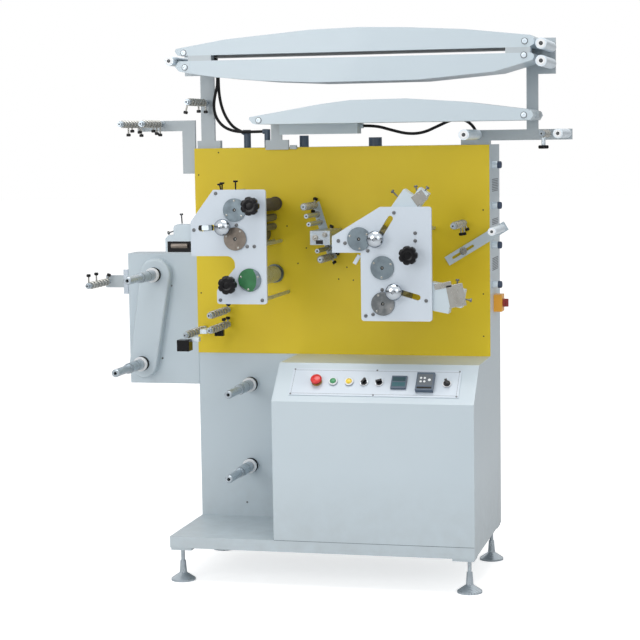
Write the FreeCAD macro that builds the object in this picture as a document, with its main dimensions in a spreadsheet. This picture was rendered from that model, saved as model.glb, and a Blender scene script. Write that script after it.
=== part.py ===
import FreeCAD, Part
import math
import os
import re
import Sketcher
from FreeCAD import Placement, Rotation, Vector

# Flexographic label press, in millimetres. x runs along the machine from the left end of its base,
# y from the front of the base to the back, and z up from the floor.
sizes = {
    # Where the middle of the whole outline lies, measured from the front left corner of the base
    "origin_x": 513.5,
    "origin_y": 297.5,
    # Base, feet and cabinets
    "base_length": 1100.0,
    "base_depth": 635.0,
    "base_underside": 130.0,
    "base_height": 41.0,
    "base_sheet": 3.0,
    "base_pad_side": 76.0,
    "base_pad_drop": 9.0,
    "foot_inset_x": 28.0,
    "foot_inset_y": 61.0,
    "foot_pad_radius": 44.0,
    "foot_rim": 7.0,
    "foot_dome_top": 28.0,
    "foot_sleeve_radius": 13.5,
    "foot_sleeve_top_radius": 10.0,
    "foot_sleeve_top": 72.0,
    "foot_stud_radius": 6.8,
    "console_left": 385.0,
    "console_depth": 390.0,
    "console_face_top": 666.0,
    "console_top": 788.0,
    "column_top": 1548.0,
    "panel_thickness": 5.0,
    # Control plate and its switches, placed up the sloping face of the console
    "plate_left": 442.0,
    "plate_width": 602.0,
    "plate_start": 28.0,
    "plate_rise": 118.0,
    "plate_sheet": 3.0,
    "switch_row": 86.0,
    "bezel_radius": 15.0,
    "bezel_height": 3.0,
    "stop_x": 536.0,
    "stop_collar_radius": 17.0,
    "stop_collar_height": 8.0,
    "stop_stem_radius": 10.0,
    "stop_travel": 4.0,
    "stop_head_radius": 20.0,
    "stop_head_height": 12.0,
    "green_x": 595.0,
    "yellow_x": 652.0,
    "button_radius": 11.0,
    "button_height": 8.0,
    "button_travel": 2.0,
    "button_clearance": 0.1,
    "first_selector_x": 705.0,
    "second_selector_x": 759.0,
    "selector_length": 22.0,
    "selector_width": 8.0,
    "selector_height": 15.0,
    "meter_x": 830.0,
    "meter_side": 54.0,
    "meter_height": 9.0,
    "controller_x": 923.0,
    "controller_width": 62.0,
    "controller_rise": 76.0,
    "controller_height": 16.0,
    "dial_x": 998.0,
    "dial_radius": 12.0,
    "dial_height": 15.0,
    "seat_gap": 0.3,
    # Printing unit plates, which stand in front of the yellow panel
    "unit_front": 25.0,
    "unit_thickness": 12.0,
    "tie_rod_radius": 6.5,
    "left_wing_left": 95.0,
    "left_wing_bottom": 1173.0,
    "left_chamfer_bottom": 1294.0,
    "left_top_left": 180.0,
    "left_top": 1405.0,
    "left_right": 369.0,
    "left_bottom": 1004.0,
    "left_foot_left": 187.0,
    "left_foot_top": 1052.0,
    "left_waist": 255.0,
    "left_waist_low": 1132.0,
    "right_nose_left": 605.0,
    "right_nose_top": 1241.0,
    "right_nose_bottom": 1185.0,
    "right_top_left": 775.0,
    "right_top": 1342.0,
    "right_right": 954.0,
    "right_bottom": 949.0,
    "right_left": 706.0,
    "notch_round": 30.0,
    "plate_corner": 10.0,
    "slot_width": 20.0,
    "slot_length": 84.0,
    "slide_block": 30.0,
    "slide_block_proud": 1.0,
    "disc_radius": 41.0,
    "disc_thickness": 5.0,
    "disc_hole_radius": 6.0,
    "disc_web": 1.0,
    "disc_flat": 27.0,
    "cap_radius": 29.0,
    "cap_neck_radius": 15.0,
    "cap_front": -26.0,
    "cap_height": 22.0,
    "cap_round": 9.0,
    "knob_radius": 32.0,
    "knob_depth": 25.0,
    "knob_front": -40.0,
    "knob_scallop": 10.0,
    "knob_scallop_offset": 37.0,
    "knob_lobes": 7.0,
    "knob_hub_radius": 18.0,
    "journal_radius": 8.0,
    "journal_length": 13.0,
    "rubber_radius": 23.0,
    "lower_roller_radius": 30.0,
    "bearing_ring_radius": 34.0,
    "bearing_ring_depth": 14.0,
    # Ink boxes, fixed to the back of the unit plates
    "ink_box_depth": 50.0,
    "left_ink_box_width": 91.0,
    "left_ink_box_height": 60.0,
    "left_ink_box_round": 12.0,
    "ink_guard_reach": 31.0,
    "ink_guard_drop": 38.0,
    "ink_guard_rise": 22.0,
    "ink_guard_sheet": 8.0,
    "ink_tray_depth": 120.0,
    "upper_ink_tilt": -36.0,
    "lower_ink_tilt": -11.0,
    # Unwind housing at the left, belt cover and the four reel spindles
    "unwind_width": 271.0,
    "housing_proud": 2.0,
    "unwind_depth": 110.0,
    "unwind_bottom": 669.0,
    "unwind_top": 1159.0,
    "cover_depth": 38.0,
    "cover_top_radius": 59.0,
    "cover_bottom_radius": 54.0,
    "cover_round": 8.0,
    "upper_unwind_x": -155.0,
    "upper_unwind_z": 1082.0,
    "lower_unwind_x": -209.0,
    "lower_unwind_z": 748.0,
    "upper_rewind_x": 201.0,
    "upper_rewind_z": 672.0,
    "lower_rewind_x": 197.0,
    "lower_rewind_z": 366.0,
    "spindle_length": 300.0,
    "spindle_flange_radius": 27.0,
    "spindle_flange": 7.0,
    "spindle_collar_radius": 22.0,
    "spindle_collar": 17.0,
    "spindle_body_radius": 19.5,
    "spindle_body": 132.0,
    "spindle_groove_radius": 16.0,
    "spindle_groove": 6.0,
    "spindle_ring_radius": 18.0,
    "spindle_ring": 9.0,
    "spindle_tip_radius": 14.5,
    "spindle_tip_chamfer": 3.0,
    "spindle_centre_radius": 6.0,
    "spindle_centre_depth": 16.0,
    # Dryer housings over the column, with the posts that carry them
    "dryer_front": 125.0,
    "post_setback": 10.0,
    "post_thickness": 12.0,
    "dryer_left": 18.0,
    "dryer_right_reach": 61.0,
    "upper_dryer_bottom": 1877.0,
    "web_gap": 19.0,
    "lower_dryer_left": 286.0,
    "lower_dryer_right_inset": 3.0,
    "lower_dryer_bottom": 1631.0,
    "spacer_left": 66.0,
    "spacer_width": 85.0,
    "spacer_depth": 40.0,
    "right_spacer_inset": 97.0,
    "lamp_left": 345.0,
    "lamp_width": 289.0,
    "lamp_height": 37.0,
    "lamp_front": 320.0,
    "lamp_back": 384.0,
    "lamp_nut_drop": 9.5,
    "support_left": 277.0,
    "support_foot_width": 87.0,
    "support_foot_height": 27.0,
    "support_hook": 8.0,
    "support_width": 40.0,
    "support_depth": 12.0,
    "left_post_left": 24.0,
    "left_post_width": 52.0,
    "left_post_top": 1893.0,
    "left_post_foot_left": 8.0,
    "left_post_foot_width": 89.0,
    "left_post_foot_depth": 24.0,
    "left_post_foot_height": 28.0,
    "left_flag_left": -35.0,
    "left_flag_bottom": 1815.0,
    "right_post_inset": 161.0,
    "right_post_width": 41.0,
    "right_post_top": 1920.0,
    "right_flag_width": 103.0,
    "right_flag_bottom": 1794.0,
    "bar_overlap": 104.0,
    "bar_reach": 293.0,
    "bar_bottom": 1562.0,
    "bar_height": 38.0,
    "bar_foot_depth": 30.0,
    # Web rollers
    "roller_front": 100.0,
    "roller_stub": 10.0,
    "roller_stub_radius": 6.0,
    "left_roller_x": 3.0,
    "left_roller_z": 1859.0,
    "left_roller_radius": 17.0,
    "right_roller_reach": 88.0,
    "right_roller_high": 1887.0,
    "right_roller_low": 1829.0,
    "right_roller_radius": 19.0,
    "bar_roller_left_inset": 59.0,
    "bar_roller_right_inset": 17.0,
    "bar_roller_z": 1584.0,
    "bar_roller_left_radius": 18.0,
    "bar_roller_right_radius": 16.0,
    # Web guides: plain rods with set collars
    "guide_radius": 7.0,
    "guide_collar_radius": 11.0,
    "guide_collar": 12.0,
    "guide_length": 255.0,
    "bar_guide_inset": 82.0,
    "bar_guide_length": 220.0,
    "arm_left": -225.0,
    "arm_right": 0.0,
    "arm_upright_left": -50.0,
    "arm_bottom": 1455.0,
    "arm_beam_bottom": 1613.0,
    "arm_top": 1652.0,
    "arm_thickness": 12.0,
    "arm_first_rod_x": -205.0,
    "arm_second_rod_x": -125.0,
    "arm_rod_z": 1640.0,
    "post_rod_x": 50.0,
    "post_rod_z": 1715.0,
    "side_bracket_left": -366.0,
    "side_bracket_bottom": 1029.0,
    "side_bracket_height": 46.0,
    "side_bracket_thickness": 12.0,
    "side_rod_x": -354.0,
    # Idler bar between the printing units, slotted arm at the right and small guides
    "idler_top_x": 460.0,
    "idler_top_z": 1345.0,
    "idler_bottom_x": 524.0,
    "idler_bottom_z": 1139.0,
    "idler_width": 30.0,
    "idler_thickness": 8.0,
    "idler_rod_front": 190.0,
    "web_eye_left": 486.0,
    "web_eye_width": 73.0,
    "web_eye_bottom": 1202.0,
    "web_eye_height": 50.0,
    "slot_arm_inset": 154.0,
    "slot_arm_start_z": 1131.0,
    "panel_guide_d_inset": 90.0,
    "panel_guide_d_z": 1270.0,
    "slot_arm_length": 250.0,
    "slot_arm_width": 35.0,
    "slot_arm_thickness": 8.0,
    "slot_arm_angle": 31.0,
    "slot_arm_slot_start": 22.0,
    "slot_arm_slot_length": 92.0,
    "slot_arm_slot_width": 10.0,
    "slot_arm_roller_radius": 14.0,
    "slot_arm_roller_front": 130.0,
    # Fittings on the right side, glands on the roof and cables
    "cable_rise": 59.0,
    "top_fitting_z": 1475.0,
    "upper_fitting_z": 1329.0,
    "lower_fitting_z": 1186.0,
    "bottom_fitting_z": 1043.0,
    "fitting_setback": 62.0,
    "fitting_radius": 13.0,
    "fitting_body": 22.0,
    "fitting_length": 35.0,
    "switch_setback": 115.0,
    "switch_z": 972.0,
    "switch_side": 62.0,
    "switch_box_depth": 30.0,
    "switch_handle_radius": 20.0,
    "switch_handle_depth": 22.0,
    "cable_radius": 5.5,
    "gland_nut_radius": 9.0,
    "gland_nut": 12.0,
    "dryer_nut_radius": 8.0,
    "dryer_nut_reach": 52.0,
    "front_nut_x": 99.0,
    "front_nut_inset": 28.0,
    "rear_nut_x": 97.0,
    "rear_nut_inset": 10.0,
}

# Sizes that follow from others
derived = {
    "panel_front": "console_depth - panel_thickness",
    "unit_back": "unit_front + unit_thickness",
    "unwind_front": "console_depth - housing_proud",
    "post_front": "console_depth + post_setback",
    "arm_front": "console_depth + post_setback",
    "bar_left": "base_length - bar_overlap",
    "bar_right": "base_length + bar_reach",
    "bar_roller_left_x": "bar_left + bar_roller_left_inset",
    "bar_roller_right_x": "bar_right - bar_roller_right_inset",
    "bar_guide_x": "bar_right - bar_guide_inset",
    "right_post_left": "bar_right - right_post_inset",
    "right_roller_x": "right_post_left + right_roller_reach",
    "dryer_right": "right_post_left + dryer_right_reach",
    "lower_dryer_right": "dryer_right - lower_dryer_right_inset",
    "right_spacer_left": "dryer_right - right_spacer_inset",
    "slot_arm_start_x": "base_length - slot_arm_inset",
    "panel_guide_d_x": "base_length - panel_guide_d_inset",
    "fitting_y": "console_depth + fitting_setback",
    "switch_y": "console_depth + switch_setback",
    "middle_dryer_top": "upper_dryer_bottom - web_gap",
    "dryer_nut_bottom": "middle_dryer_top - dryer_nut_reach",
    "lamp_nut_z": "lower_dryer_bottom - lamp_nut_drop",
}

# Where pieces stand on the unit plates and on the panel behind them, as x and z
places = {
    "left_print": (257.0, 1334.0),
    "left_ink": (220.0, 1275.0),
    "left_transfer": (258.0, 1233.0),
    "left_high_idler": (304.0, 1294.0),
    "left_low_idler": (304.0, 1260.0),
    "rubber": (309.0, 1343.0),
    "lower_roller": (303.0, 1086.0),
    "register": (308.0, 1089.0),
    "right_print": (701.0, 1232.0),
    "right_ink": (764.0, 1233.0),
    "right_centre": (782.0, 1133.0),
    "right_low_ink": (827.0, 1052.0),
    "right_low": (783.0, 1009.0),
    "left_slot": (165.0, 1272.0),
    "upper_slot": (794.0, 1275.0),
    "lower_slot": (874.0, 1040.0),
    "left_ink_box": (27.0, 1224.0),
    "upper_ink_box": (806.0, 1333.0),
    "upper_ink_end": (866.0, 1345.0),
    "lower_ink_box": (916.0, 993.0),
    "lower_ink_end": (1000.0, 1005.0),
    "left_tie_a": (190.0, 1392.0),
    "left_tie_b": (263.0, 1281.0),
    "left_tie_c": (301.0, 1206.0),
    "left_tie_d": (327.0, 1206.0),
    "left_tie_e": (199.0, 1018.0),
    "left_tie_f": (352.0, 1018.0),
    "right_tie_a": (628.0, 1226.0),
    "right_tie_b": (732.0, 1192.0),
    "right_tie_c": (898.0, 1252.0),
    "right_tie_d": (781.0, 1057.0),
    "right_tie_e": (722.0, 967.0),
    "left_upper_knob": (328.0, 1349.0),
    "left_lower_knob": (241.0, 1075.0),
    "right_knob": (883.0, 1179.0),
    "panel_guide_a": (122.0, 951.0),
    "panel_guide_b": (122.0, 897.0),
    "panel_guide_c": (30.0, 879.0),
}
sizes.update({name + "_x": spot[0] for name, spot in places.items()})
sizes.update({name + "_z": spot[1] for name, spot in places.items()})

fitting_names = ("top_fitting", "upper_fitting", "lower_fitting", "bottom_fitting")

# Corners of the dryers: those of the left part from the left end, then those of the right part from
# the right end, each with its height over the underside or, for the middle dryer, over its flat top
upper_dryer_outline = (((19, 0), (10, 1), (0, 15), (4, 25), (187, 53.5), (496, 79)),
                       ((601, 83), (443, 78), (238, 66), (10, 40), (0, 29), (0, 10), (15, 0)))
middle_dryer_outline = (((500, -84), (311, -74), (154, -59), (92, -50), (14, -36), (0, -20), (11, -2),
                         (18, 0)),
                        ((9, 0), (0, -8), (0, -17), (5, -25), (136, -61), (404, -83), (533, -83.5)))
lower_dryer_outline = (((26, 0), (12, 3.5), (0, 19.4), (3, 26), (260, 67), (367, 79)),
                       ((439, 81), (237, 66), (21, 37), (4, 29), (0, 16), (10, 0)))

# Routes of the cables, as x, y and z, with the ends at their nuts
cable_routes = {
    "front_dryer_cable": ((99, 372, 1806), (99, 372, 1778), (88, 374, 1744), (81, 377, 1708),
                          (83, 381, 1674), (97, 387, 1643), (123, 394, 1619), (164, 399, 1607),
                          (212, 402, 1606), (259.4, 402, 1607)),
    "rear_dryer_cable": ((97, 390, 1806), (97, 390, 1776), (98, 395, 1742), (102, 401, 1708),
                         (111, 408, 1675), (126, 415, 1645), (148, 421, 1619), (174.4, 425, 1607)),
    "lamp_cable": ((646, 370, 1621.5), (692, 370, 1621.5), (746, 382, 1605), (802, 400, 1590),
                   (856, 416, 1593), (908, 430, 1617), (958, 440, 1640), (996, 445, 1641),
                   (1028, 447, 1622), (1047, 448, 1590), (1047, 448, 1556)),
}

doc = FreeCAD.newDocument("LabelPress")
sheet = doc.addObject("Spreadsheet::Sheet", "Sizes")
for row, (name, value) in enumerate(list(sizes.items()) + list(derived.items()), start=1):
    sheet.set("A%d" % row, name)
    sheet.set("B%d" % row, "=" + value if name in derived else str(value))
    sheet.setAlias("B%d" % row, name)
doc.recompute()


def cells(expression):
    """Point every size named in an expression at its cell."""
    return re.sub(r"[a-z][a-z_]*", lambda word: "Sizes." + word.group(0)
                  if word.group(0) in sizes or word.group(0) in derived else word.group(0),
                  str(expression))


def size(name):
    return float(sheet.get(name))


def place(piece, x, y, z):
    """Put a piece's own origin at a point of the machine."""
    piece.setExpression("Placement.Base.x", cells("(%s) - origin_x" % x))
    piece.setExpression("Placement.Base.y", cells("(%s) - origin_y" % y))
    piece.setExpression("Placement.Base.z", cells(z))
    return piece


def box(label, corner, extent):
    """A block from its lowest corner."""
    piece = doc.addObject("Part::Box", label)
    for side, expression in zip(("Length", "Width", "Height"), extent):
        piece.setExpression(side, cells(expression))
    return place(piece, *corner)


def rod(label, x, z, front, back, radius):
    """A round bar that runs from the front of the machine to the back."""
    piece = doc.addObject("Part::Cylinder", label)
    piece.setExpression("Radius", cells(radius))
    piece.setExpression("Height", cells("(%s) - (%s)" % (back, front)))
    piece.Placement.Rotation = Rotation(Vector(1, 0, 0), -90)
    return place(piece, x, front, z)


def side_rod(label, y, z, left, right, radius):
    """A round bar that runs from left to right."""
    piece = doc.addObject("Part::Cylinder", label)
    piece.setExpression("Radius", cells(radius))
    piece.setExpression("Height", cells("(%s) - (%s)" % (right, left)))
    piece.Placement.Rotation = Rotation(Vector(0, 1, 0), 90)
    return place(piece, left, y, z)


def cut(label, base, tools):
    tool = tools[0] if len(tools) == 1 else union(label + "_tools", tools)
    piece = doc.addObject("Part::Cut", label)
    piece.Base = base
    piece.Tool = tool
    return piece


def union(label, pieces):
    piece = doc.addObject("Part::MultiFuse", label)
    piece.Shapes = pieces
    piece.Refine = True
    return piece


def group(label, pieces):
    """Separate solids of one kind that share a node."""
    piece = doc.addObject("Part::Compound", label)
    piece.Links = pieces
    return piece


def body_sketch(body, role, name):
    sketch = body.newObject("Sketcher::SketchObject", name)
    plane = [feature for feature in body.Origin.OriginFeatures if feature.Role == role][0]
    sketch.AttachmentSupport = [(plane, "")]
    sketch.MapMode = "FlatFace"
    return sketch


def outline(sketch, corners):
    """A closed polygon whose corners are each set by two sizes."""
    count = len(corners)
    ring = [Vector(math.cos(2 * math.pi * turn / count), math.sin(2 * math.pi * turn / count), 0)
            for turn in range(count)]
    sketch.addGeometry([Part.LineSegment(ring[turn], ring[(turn + 1) % count])
                        for turn in range(count)])
    sketch.addConstraint([Sketcher.Constraint("Coincident", turn, 2, (turn + 1) % count, 1)
                          for turn in range(count)])
    for turn, corner in enumerate(corners):
        for kind, axis, expression in zip(("DistanceX", "DistanceY"), (-2, -1), corner):
            if str(expression) == "0":
                sketch.addConstraint(Sketcher.Constraint("PointOnObject", turn, 1, axis))
            else:
                index = sketch.addConstraint(Sketcher.Constraint(kind, -1, 1, turn, 1, 1.0))
                sketch.setExpression("Constraints[%d]" % index, cells(expression))


def turned(label, steps, x, y, z, role="XY_Plane"):
    """A turned piece about an axis that runs to the back: steps are (radius, distance)."""
    body = doc.addObject("PartDesign::Body", label)
    sketch = body_sketch(body, role, label + "_profile")
    outline(sketch, [("0", steps[0][1])] + steps + [("0", steps[-1][1])])
    turn = body.newObject("PartDesign::Revolution", label + "_turn")
    turn.Profile = sketch
    turn.ReferenceAxis = (sketch, ["V_Axis"])
    turn.Angle = 360
    return place(body, x, y, z)


def plate(label, corners, front, thickness):
    """A flat plate seen from the front, with its corners as (x, z) of the machine."""
    body = doc.addObject("PartDesign::Body", label)
    sketch = body_sketch(body, "XZ_Plane", label + "_outline")
    outline(sketch, corners)
    pad = body.newObject("PartDesign::Pad", label + "_pad")
    pad.Profile = sketch
    pad.Reversed = True
    pad.setExpression("Length", cells(thickness))
    return place(body, "0", front, "0")


def round_corners(body, feature, corners, radius):
    """Round a plate's edges that stand at the given corners."""
    doc.recompute()
    names = []
    for number, edge in enumerate(feature.Shape.Edges, start=1):
        first, last = (point.Point for point in edge.Vertexes)
        upright = abs(first.x - last.x) + abs(first.z - last.z) < 0.01
        if upright and any(abs(first.x - size(x)) + abs(first.z - size(z)) < 0.01 for x, z in corners):
            names.append("Edge%d" % number)
    fillet = body.newObject("PartDesign::Fillet", feature.Label + "_round")
    fillet.Base = (feature, names)
    fillet.setExpression("Radius", cells(radius))
    body.Tip = fillet


def aimed_rod(label, start, along, length, radius):
    """A round bar from a point, along a direction."""
    piece = doc.addObject("Part::Cylinder", label)
    piece.setExpression("Radius", cells(radius))
    piece.setExpression("Height", cells(length))
    piece.Placement.Rotation = Rotation(Vector(0, 0, 1), Vector(*along))
    return place(piece, *start)


finished = []


def keep(piece):
    finished.append(piece)
    return piece


def make_base():
    shell = box("base_blank", ("0", "0", "base_underside"),
                ("base_length", "base_depth", "base_height"))
    hollow = box("base_hollow", ("base_sheet", "base_sheet", "base_underside - base_sheet"),
                 ("base_length - 2 * base_sheet", "base_depth - 2 * base_sheet", "base_height"))
    tray = cut("base_folded", shell, [hollow])
    pads = []
    for end, left in (("left", "base_sheet"), ("right", "base_length - base_sheet - base_pad_side")):
        for side, front in (("front", "base_sheet"), ("rear", "base_depth - base_sheet - base_pad_side")):
            pads.append(box("base_pad_%s_%s" % (side, end),
                            (left, front, "base_underside - base_pad_drop"),
                            ("base_pad_side", "base_pad_side",
                             "base_height - base_sheet + base_pad_drop")))
    keep(union("base_tray", [tray] + pads))


def make_feet():
    top = "base_underside - base_pad_drop"
    profile = [("foot_pad_radius", "0"), ("foot_pad_radius", "foot_rim"),
               ("foot_sleeve_radius", "foot_dome_top"),
               ("foot_sleeve_top_radius", "foot_sleeve_top"),
               ("foot_stud_radius", "foot_sleeve_top"), ("foot_stud_radius", top)]
    places = (("front_left", "foot_inset_x", "foot_inset_y"),
              ("front_right", "base_length - foot_inset_x", "foot_inset_y"),
              ("rear_left", "foot_inset_x", "base_depth - foot_inset_y"),
              ("rear_right", "base_length - foot_inset_x", "base_depth - foot_inset_y"))
    keep(group("levelling_feet", [turned("foot_" + name, profile, x, y, "0", "XZ_Plane")
                                  for name, x, y in places]))


def make_cabinets():
    top = "base_underside + base_height"
    keep(box("column_cabinet", ("0", "console_depth", top),
             ("base_length", "base_depth - console_depth", "column_top - (%s)" % top)))
    body = doc.addObject("PartDesign::Body", "console_cabinet")
    sketch = body_sketch(body, "YZ_Plane", "console_side")
    outline(sketch, [("0", top), ("console_depth", top), ("console_depth", "console_top"),
                     ("console_top - console_face_top", "console_top"), ("0", "console_face_top")])
    pad = body.newObject("PartDesign::Pad", "console_pad")
    pad.Profile = sketch
    pad.setExpression("Length", cells("base_length - console_left"))
    keep(place(body, "console_left", "0", "0"))
    keep(box("front_panel", ("0", "panel_front", "console_top"),
             ("base_length", "panel_thickness", "column_top - console_top")))


def on_slope(piece, x, up, height):
    """Put a piece on the console's slope: up the face from its lower edge, and off the face."""
    piece.Placement.Rotation = Rotation(Vector(1, 0, 0), 45)
    return place(piece, x, "((%s) - (%s)) * cos(45)" % (up, height),
                 "console_face_top + ((%s) + (%s)) * cos(45)" % (up, height))


def slope_box(label, middle, width, up, rise, start, height):
    piece = doc.addObject("Part::Box", label)
    piece.setExpression("Length", cells(width))
    piece.setExpression("Width", cells(rise))
    piece.setExpression("Height", cells(height))
    return on_slope(piece, "(%s) - (%s) / 2" % (middle, width), "(%s) - (%s) / 2" % (up, rise), start)


def slope_disc(label, middle, radius, start, height):
    piece = doc.addObject("Part::Cylinder", label)
    piece.setExpression("Radius", cells(radius))
    piece.setExpression("Height", cells(height))
    return on_slope(piece, middle, "switch_row", start)


def slope_ring(label, middle, radius, bore, start, height):
    """A ring on the slope, bored for the button that slides in it."""
    return cut(label, slope_disc(label + "_blank", middle, radius, start, height),
               [slope_disc(label + "_bore", middle, bore, "(%s) - 1" % start, "(%s) + 2" % height)])


def make_controls():
    keep(slope_box("control_plate", "plate_left + plate_width / 2", "plate_width",
                   "plate_start + plate_rise / 2", "plate_rise", "0", "plate_sheet"))
    bezels = [slope_disc("bezel_" + name, x, "bezel_radius", "plate_sheet", "bezel_height")
              for name, x in (("first", "first_selector_x"), ("second", "second_selector_x"),
                              ("dial", "dial_x"))]
    bezels += [slope_ring("bezel_" + name, x, "bezel_radius", "button_radius + button_clearance",
                          "plate_sheet", "bezel_height")
               for name, x in (("green", "green_x"), ("yellow", "yellow_x"))]
    bezels.append(slope_ring("stop_collar", "stop_x", "stop_collar_radius",
                             "stop_stem_radius + button_clearance", "plate_sheet",
                             "stop_collar_height"))
    keep(group("switch_bezels", bezels))
    stop_start = "plate_sheet + stop_travel + seat_gap"
    stem = slope_disc("stop_stem", "stop_x", "stop_stem_radius", stop_start, "stop_collar_height")
    head = slope_disc("stop_head", "stop_x", "stop_head_radius",
                      stop_start + " + stop_collar_height", "stop_head_height")
    keep(union("emergency_stop", [stem, head]))
    for name, x in (("green_button", "green_x"), ("yellow_button", "yellow_x")):
        keep(slope_disc(name, x, "button_radius", "plate_sheet + button_travel + seat_gap",
                        "button_height"))
    top = "plate_sheet + bezel_height + seat_gap"
    for name, x in (("selector_one", "first_selector_x"), ("selector_two", "second_selector_x")):
        disc = slope_disc(name + "_disc", x, "button_radius", top, "selector_height / 3")
        grip = slope_box(name + "_grip", x, "selector_width", "switch_row", "selector_length", top,
                         "selector_height")
        keep(union(name, [disc, grip]))
    keep(slope_disc("speed_dial", "dial_x", "dial_radius", top, "dial_height"))
    meter = slope_box("panel_meter", "meter_x", "meter_side", "switch_row", "meter_side",
                      "plate_sheet", "meter_height")
    controller = slope_box("speed_controller", "controller_x", "controller_width", "switch_row",
                           "controller_rise", "plate_sheet", "controller_height")
    keep(group("panel_instruments", [meter, controller]))


def slot(label, x, z, length, width, angle, front, thickness):
    """A round-ended slot's own solid, seen from the front and turned about its middle."""
    half = "(%s - %s) / 2" % (length, width)
    middle = doc.addObject("Part::Box", label + "_middle")
    middle.setExpression("Length", cells("%s - %s" % (length, width)))
    middle.setExpression("Width", cells(thickness))
    middle.setExpression("Height", cells(width))
    middle.Placement.Rotation = Rotation(Vector(0, 1, 0), -angle)
    cosine = "cos(%s)" % angle
    sine = "sin(%s)" % angle
    place(middle, "%s - (%s) * %s + %s / 2 * %s" % (x, half, cosine, width, sine), front,
          "%s - (%s) * %s - %s / 2 * %s" % (z, half, sine, width, cosine))
    ends = [rod(label + "_" + name, "%s %s (%s) * %s" % (x, sign, half, cosine),
                "%s %s (%s) * %s" % (z, sign, half, sine), front,
                "(%s) + (%s)" % (front, thickness), "%s / 2" % width)
            for name, sign in (("low", "-"), ("high", "+"))]
    return union(label, [middle] + ends)


disc_places = ("left_print", "left_transfer", "right_print", "right_centre", "right_low")
tie_places = ("left_tie_a", "left_tie_b", "left_tie_c", "left_tie_d", "left_tie_e", "left_tie_f",
              "right_tie_a", "right_tie_b", "right_tie_c", "right_tie_d", "right_tie_e")
cap_places = ("left_ink", "right_ink", "right_low_ink")
guide_places = ("panel_guide_a", "panel_guide_b", "panel_guide_c", "panel_guide_d")
knob_names = ("left_upper_knob", "left_lower_knob", "right_knob")
hidden_rollers = (("left_print", 24), ("left_ink", 20), ("left_transfer", 34),
                  ("left_high_idler", 13), ("left_low_idler", 12), ("right_print", 36),
                  ("right_ink", 25), ("right_centre", 60), ("right_low_ink", 24),
                  ("right_low", 36))
# Glands on the roof: x, distance behind the column's front, radius and height
roof_glands = ((277, 12, 11, 67), (194, 35, 13, 66), (404, 60, 17, 42), (672, 60, 24, 32),
               (1047, 58, 12, 8))
gland_directions = ((1, 0, 0), (26.6, 4, -12))


def spot(name):
    """The x and z of a place."""
    return name + "_x", name + "_z"


def make_unit_plates():
    through = "unit_thickness + 20"
    before = "unit_front - 10"
    corner = "plate_corner"
    left = plate("left_plate_blank",
                 [("left_wing_left", "left_wing_bottom"), ("left_wing_left", "left_chamfer_bottom"),
                  ("left_top_left", "left_top"), ("left_right", "left_top"),
                  ("left_right", "left_bottom"), ("left_foot_left", "left_bottom"),
                  ("left_foot_left", "left_foot_top"), ("left_waist", "left_waist_low"),
                  ("left_waist", "left_wing_bottom")], "unit_front", "unit_thickness")
    left_pad = left.Tip
    round_corners(left, left_pad, [("left_waist", "left_wing_bottom")], "notch_round")
    round_corners(left, left.Tip, [("left_right", "left_top"), ("left_right", "left_bottom"),
                                   ("left_foot_left", "left_bottom"),
                                   ("left_foot_left", "left_foot_top")], corner)
    keep(cut("left_unit_plate", left,
             [slot("left_slot", "left_slot_x", "left_slot_z", "slot_length", "slot_width", 4,
                   before, through)]))
    right = plate("right_plate_blank",
                  [("right_nose_left", "right_nose_bottom"), ("right_nose_left", "right_nose_top"),
                   ("right_top_left", "right_top"), ("right_right", "right_top"),
                   ("right_right", "right_bottom"), ("right_left", "right_bottom"),
                   ("right_left", "right_nose_bottom")], "unit_front", "unit_thickness")
    round_corners(right, right.Tip, [("right_right", "right_top"), ("right_right", "right_bottom"),
                                     ("right_left", "right_bottom")], corner)
    keep(cut("right_unit_plate", right,
             [slot("upper_slot", "upper_slot_x", "upper_slot_z", "slot_length", "slot_width", 58,
                   before, through),
              slot("lower_slot", "lower_slot_x", "lower_slot_z", "slot_length", "slot_width", -16,
                   before, through)]))


def cover_disc(name):
    """A disc on the face of a unit plate, with a blind hole in its middle."""
    x, z = spot(name)
    disc = rod(name + "_blank", x, z, "unit_front - disc_thickness", "unit_front", "disc_radius")
    hole = rod(name + "_hole", x, z, "unit_front - 2 * disc_thickness", "unit_front - disc_web",
               "disc_hole_radius")
    return disc, hole


def make_unit_fittings():
    keep(group("tie_rods", [rod("tie_rod_" + name, *spot(name), "unit_back", "panel_front",
                                "tie_rod_radius")
                            for name in tie_places]))
    discs = []
    for name in disc_places:
        disc, hole = cover_disc(name)
        discs.append(cut(name + "_disc", disc, [hole]))
    disc, hole = cover_disc("register")
    flat = doc.addObject("Part::Box", "register_flat")
    flat.setExpression("Length", cells("2 * disc_radius"))
    flat.setExpression("Width", cells("3 * disc_thickness"))
    flat.setExpression("Height", cells("2 * disc_radius"))
    flat.Placement.Rotation = Rotation(Vector(0, 1, 0), 118)
    place(flat, "register_x - disc_flat * cos(28) + disc_radius * cos(62)",
          "unit_front - 2 * disc_thickness",
          "register_z - disc_flat * sin(28) - disc_radius * sin(62)")
    discs.append(cut("register_disc", disc, [hole, flat]))
    discs.append(rod("bearing_ring", "lower_roller_x", "lower_roller_z",
                     "panel_front - bearing_ring_depth", "panel_front", "bearing_ring_radius"))
    half = "slot_width / 2 - seat_gap"
    discs.append(tilted_box("slide_block", "left_slot_x - slide_block * 0.75 + (%s) * sin(4)" % half,
                            "left_slot_z - slide_block * 0.75 * tan(4) - (%s) * cos(4)" % half,
                            "slide_block", "2 * (%s)" % half, 4, "unit_front - slide_block_proud",
                            "unit_back"))
    keep(group("bearing_covers", discs))


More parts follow.
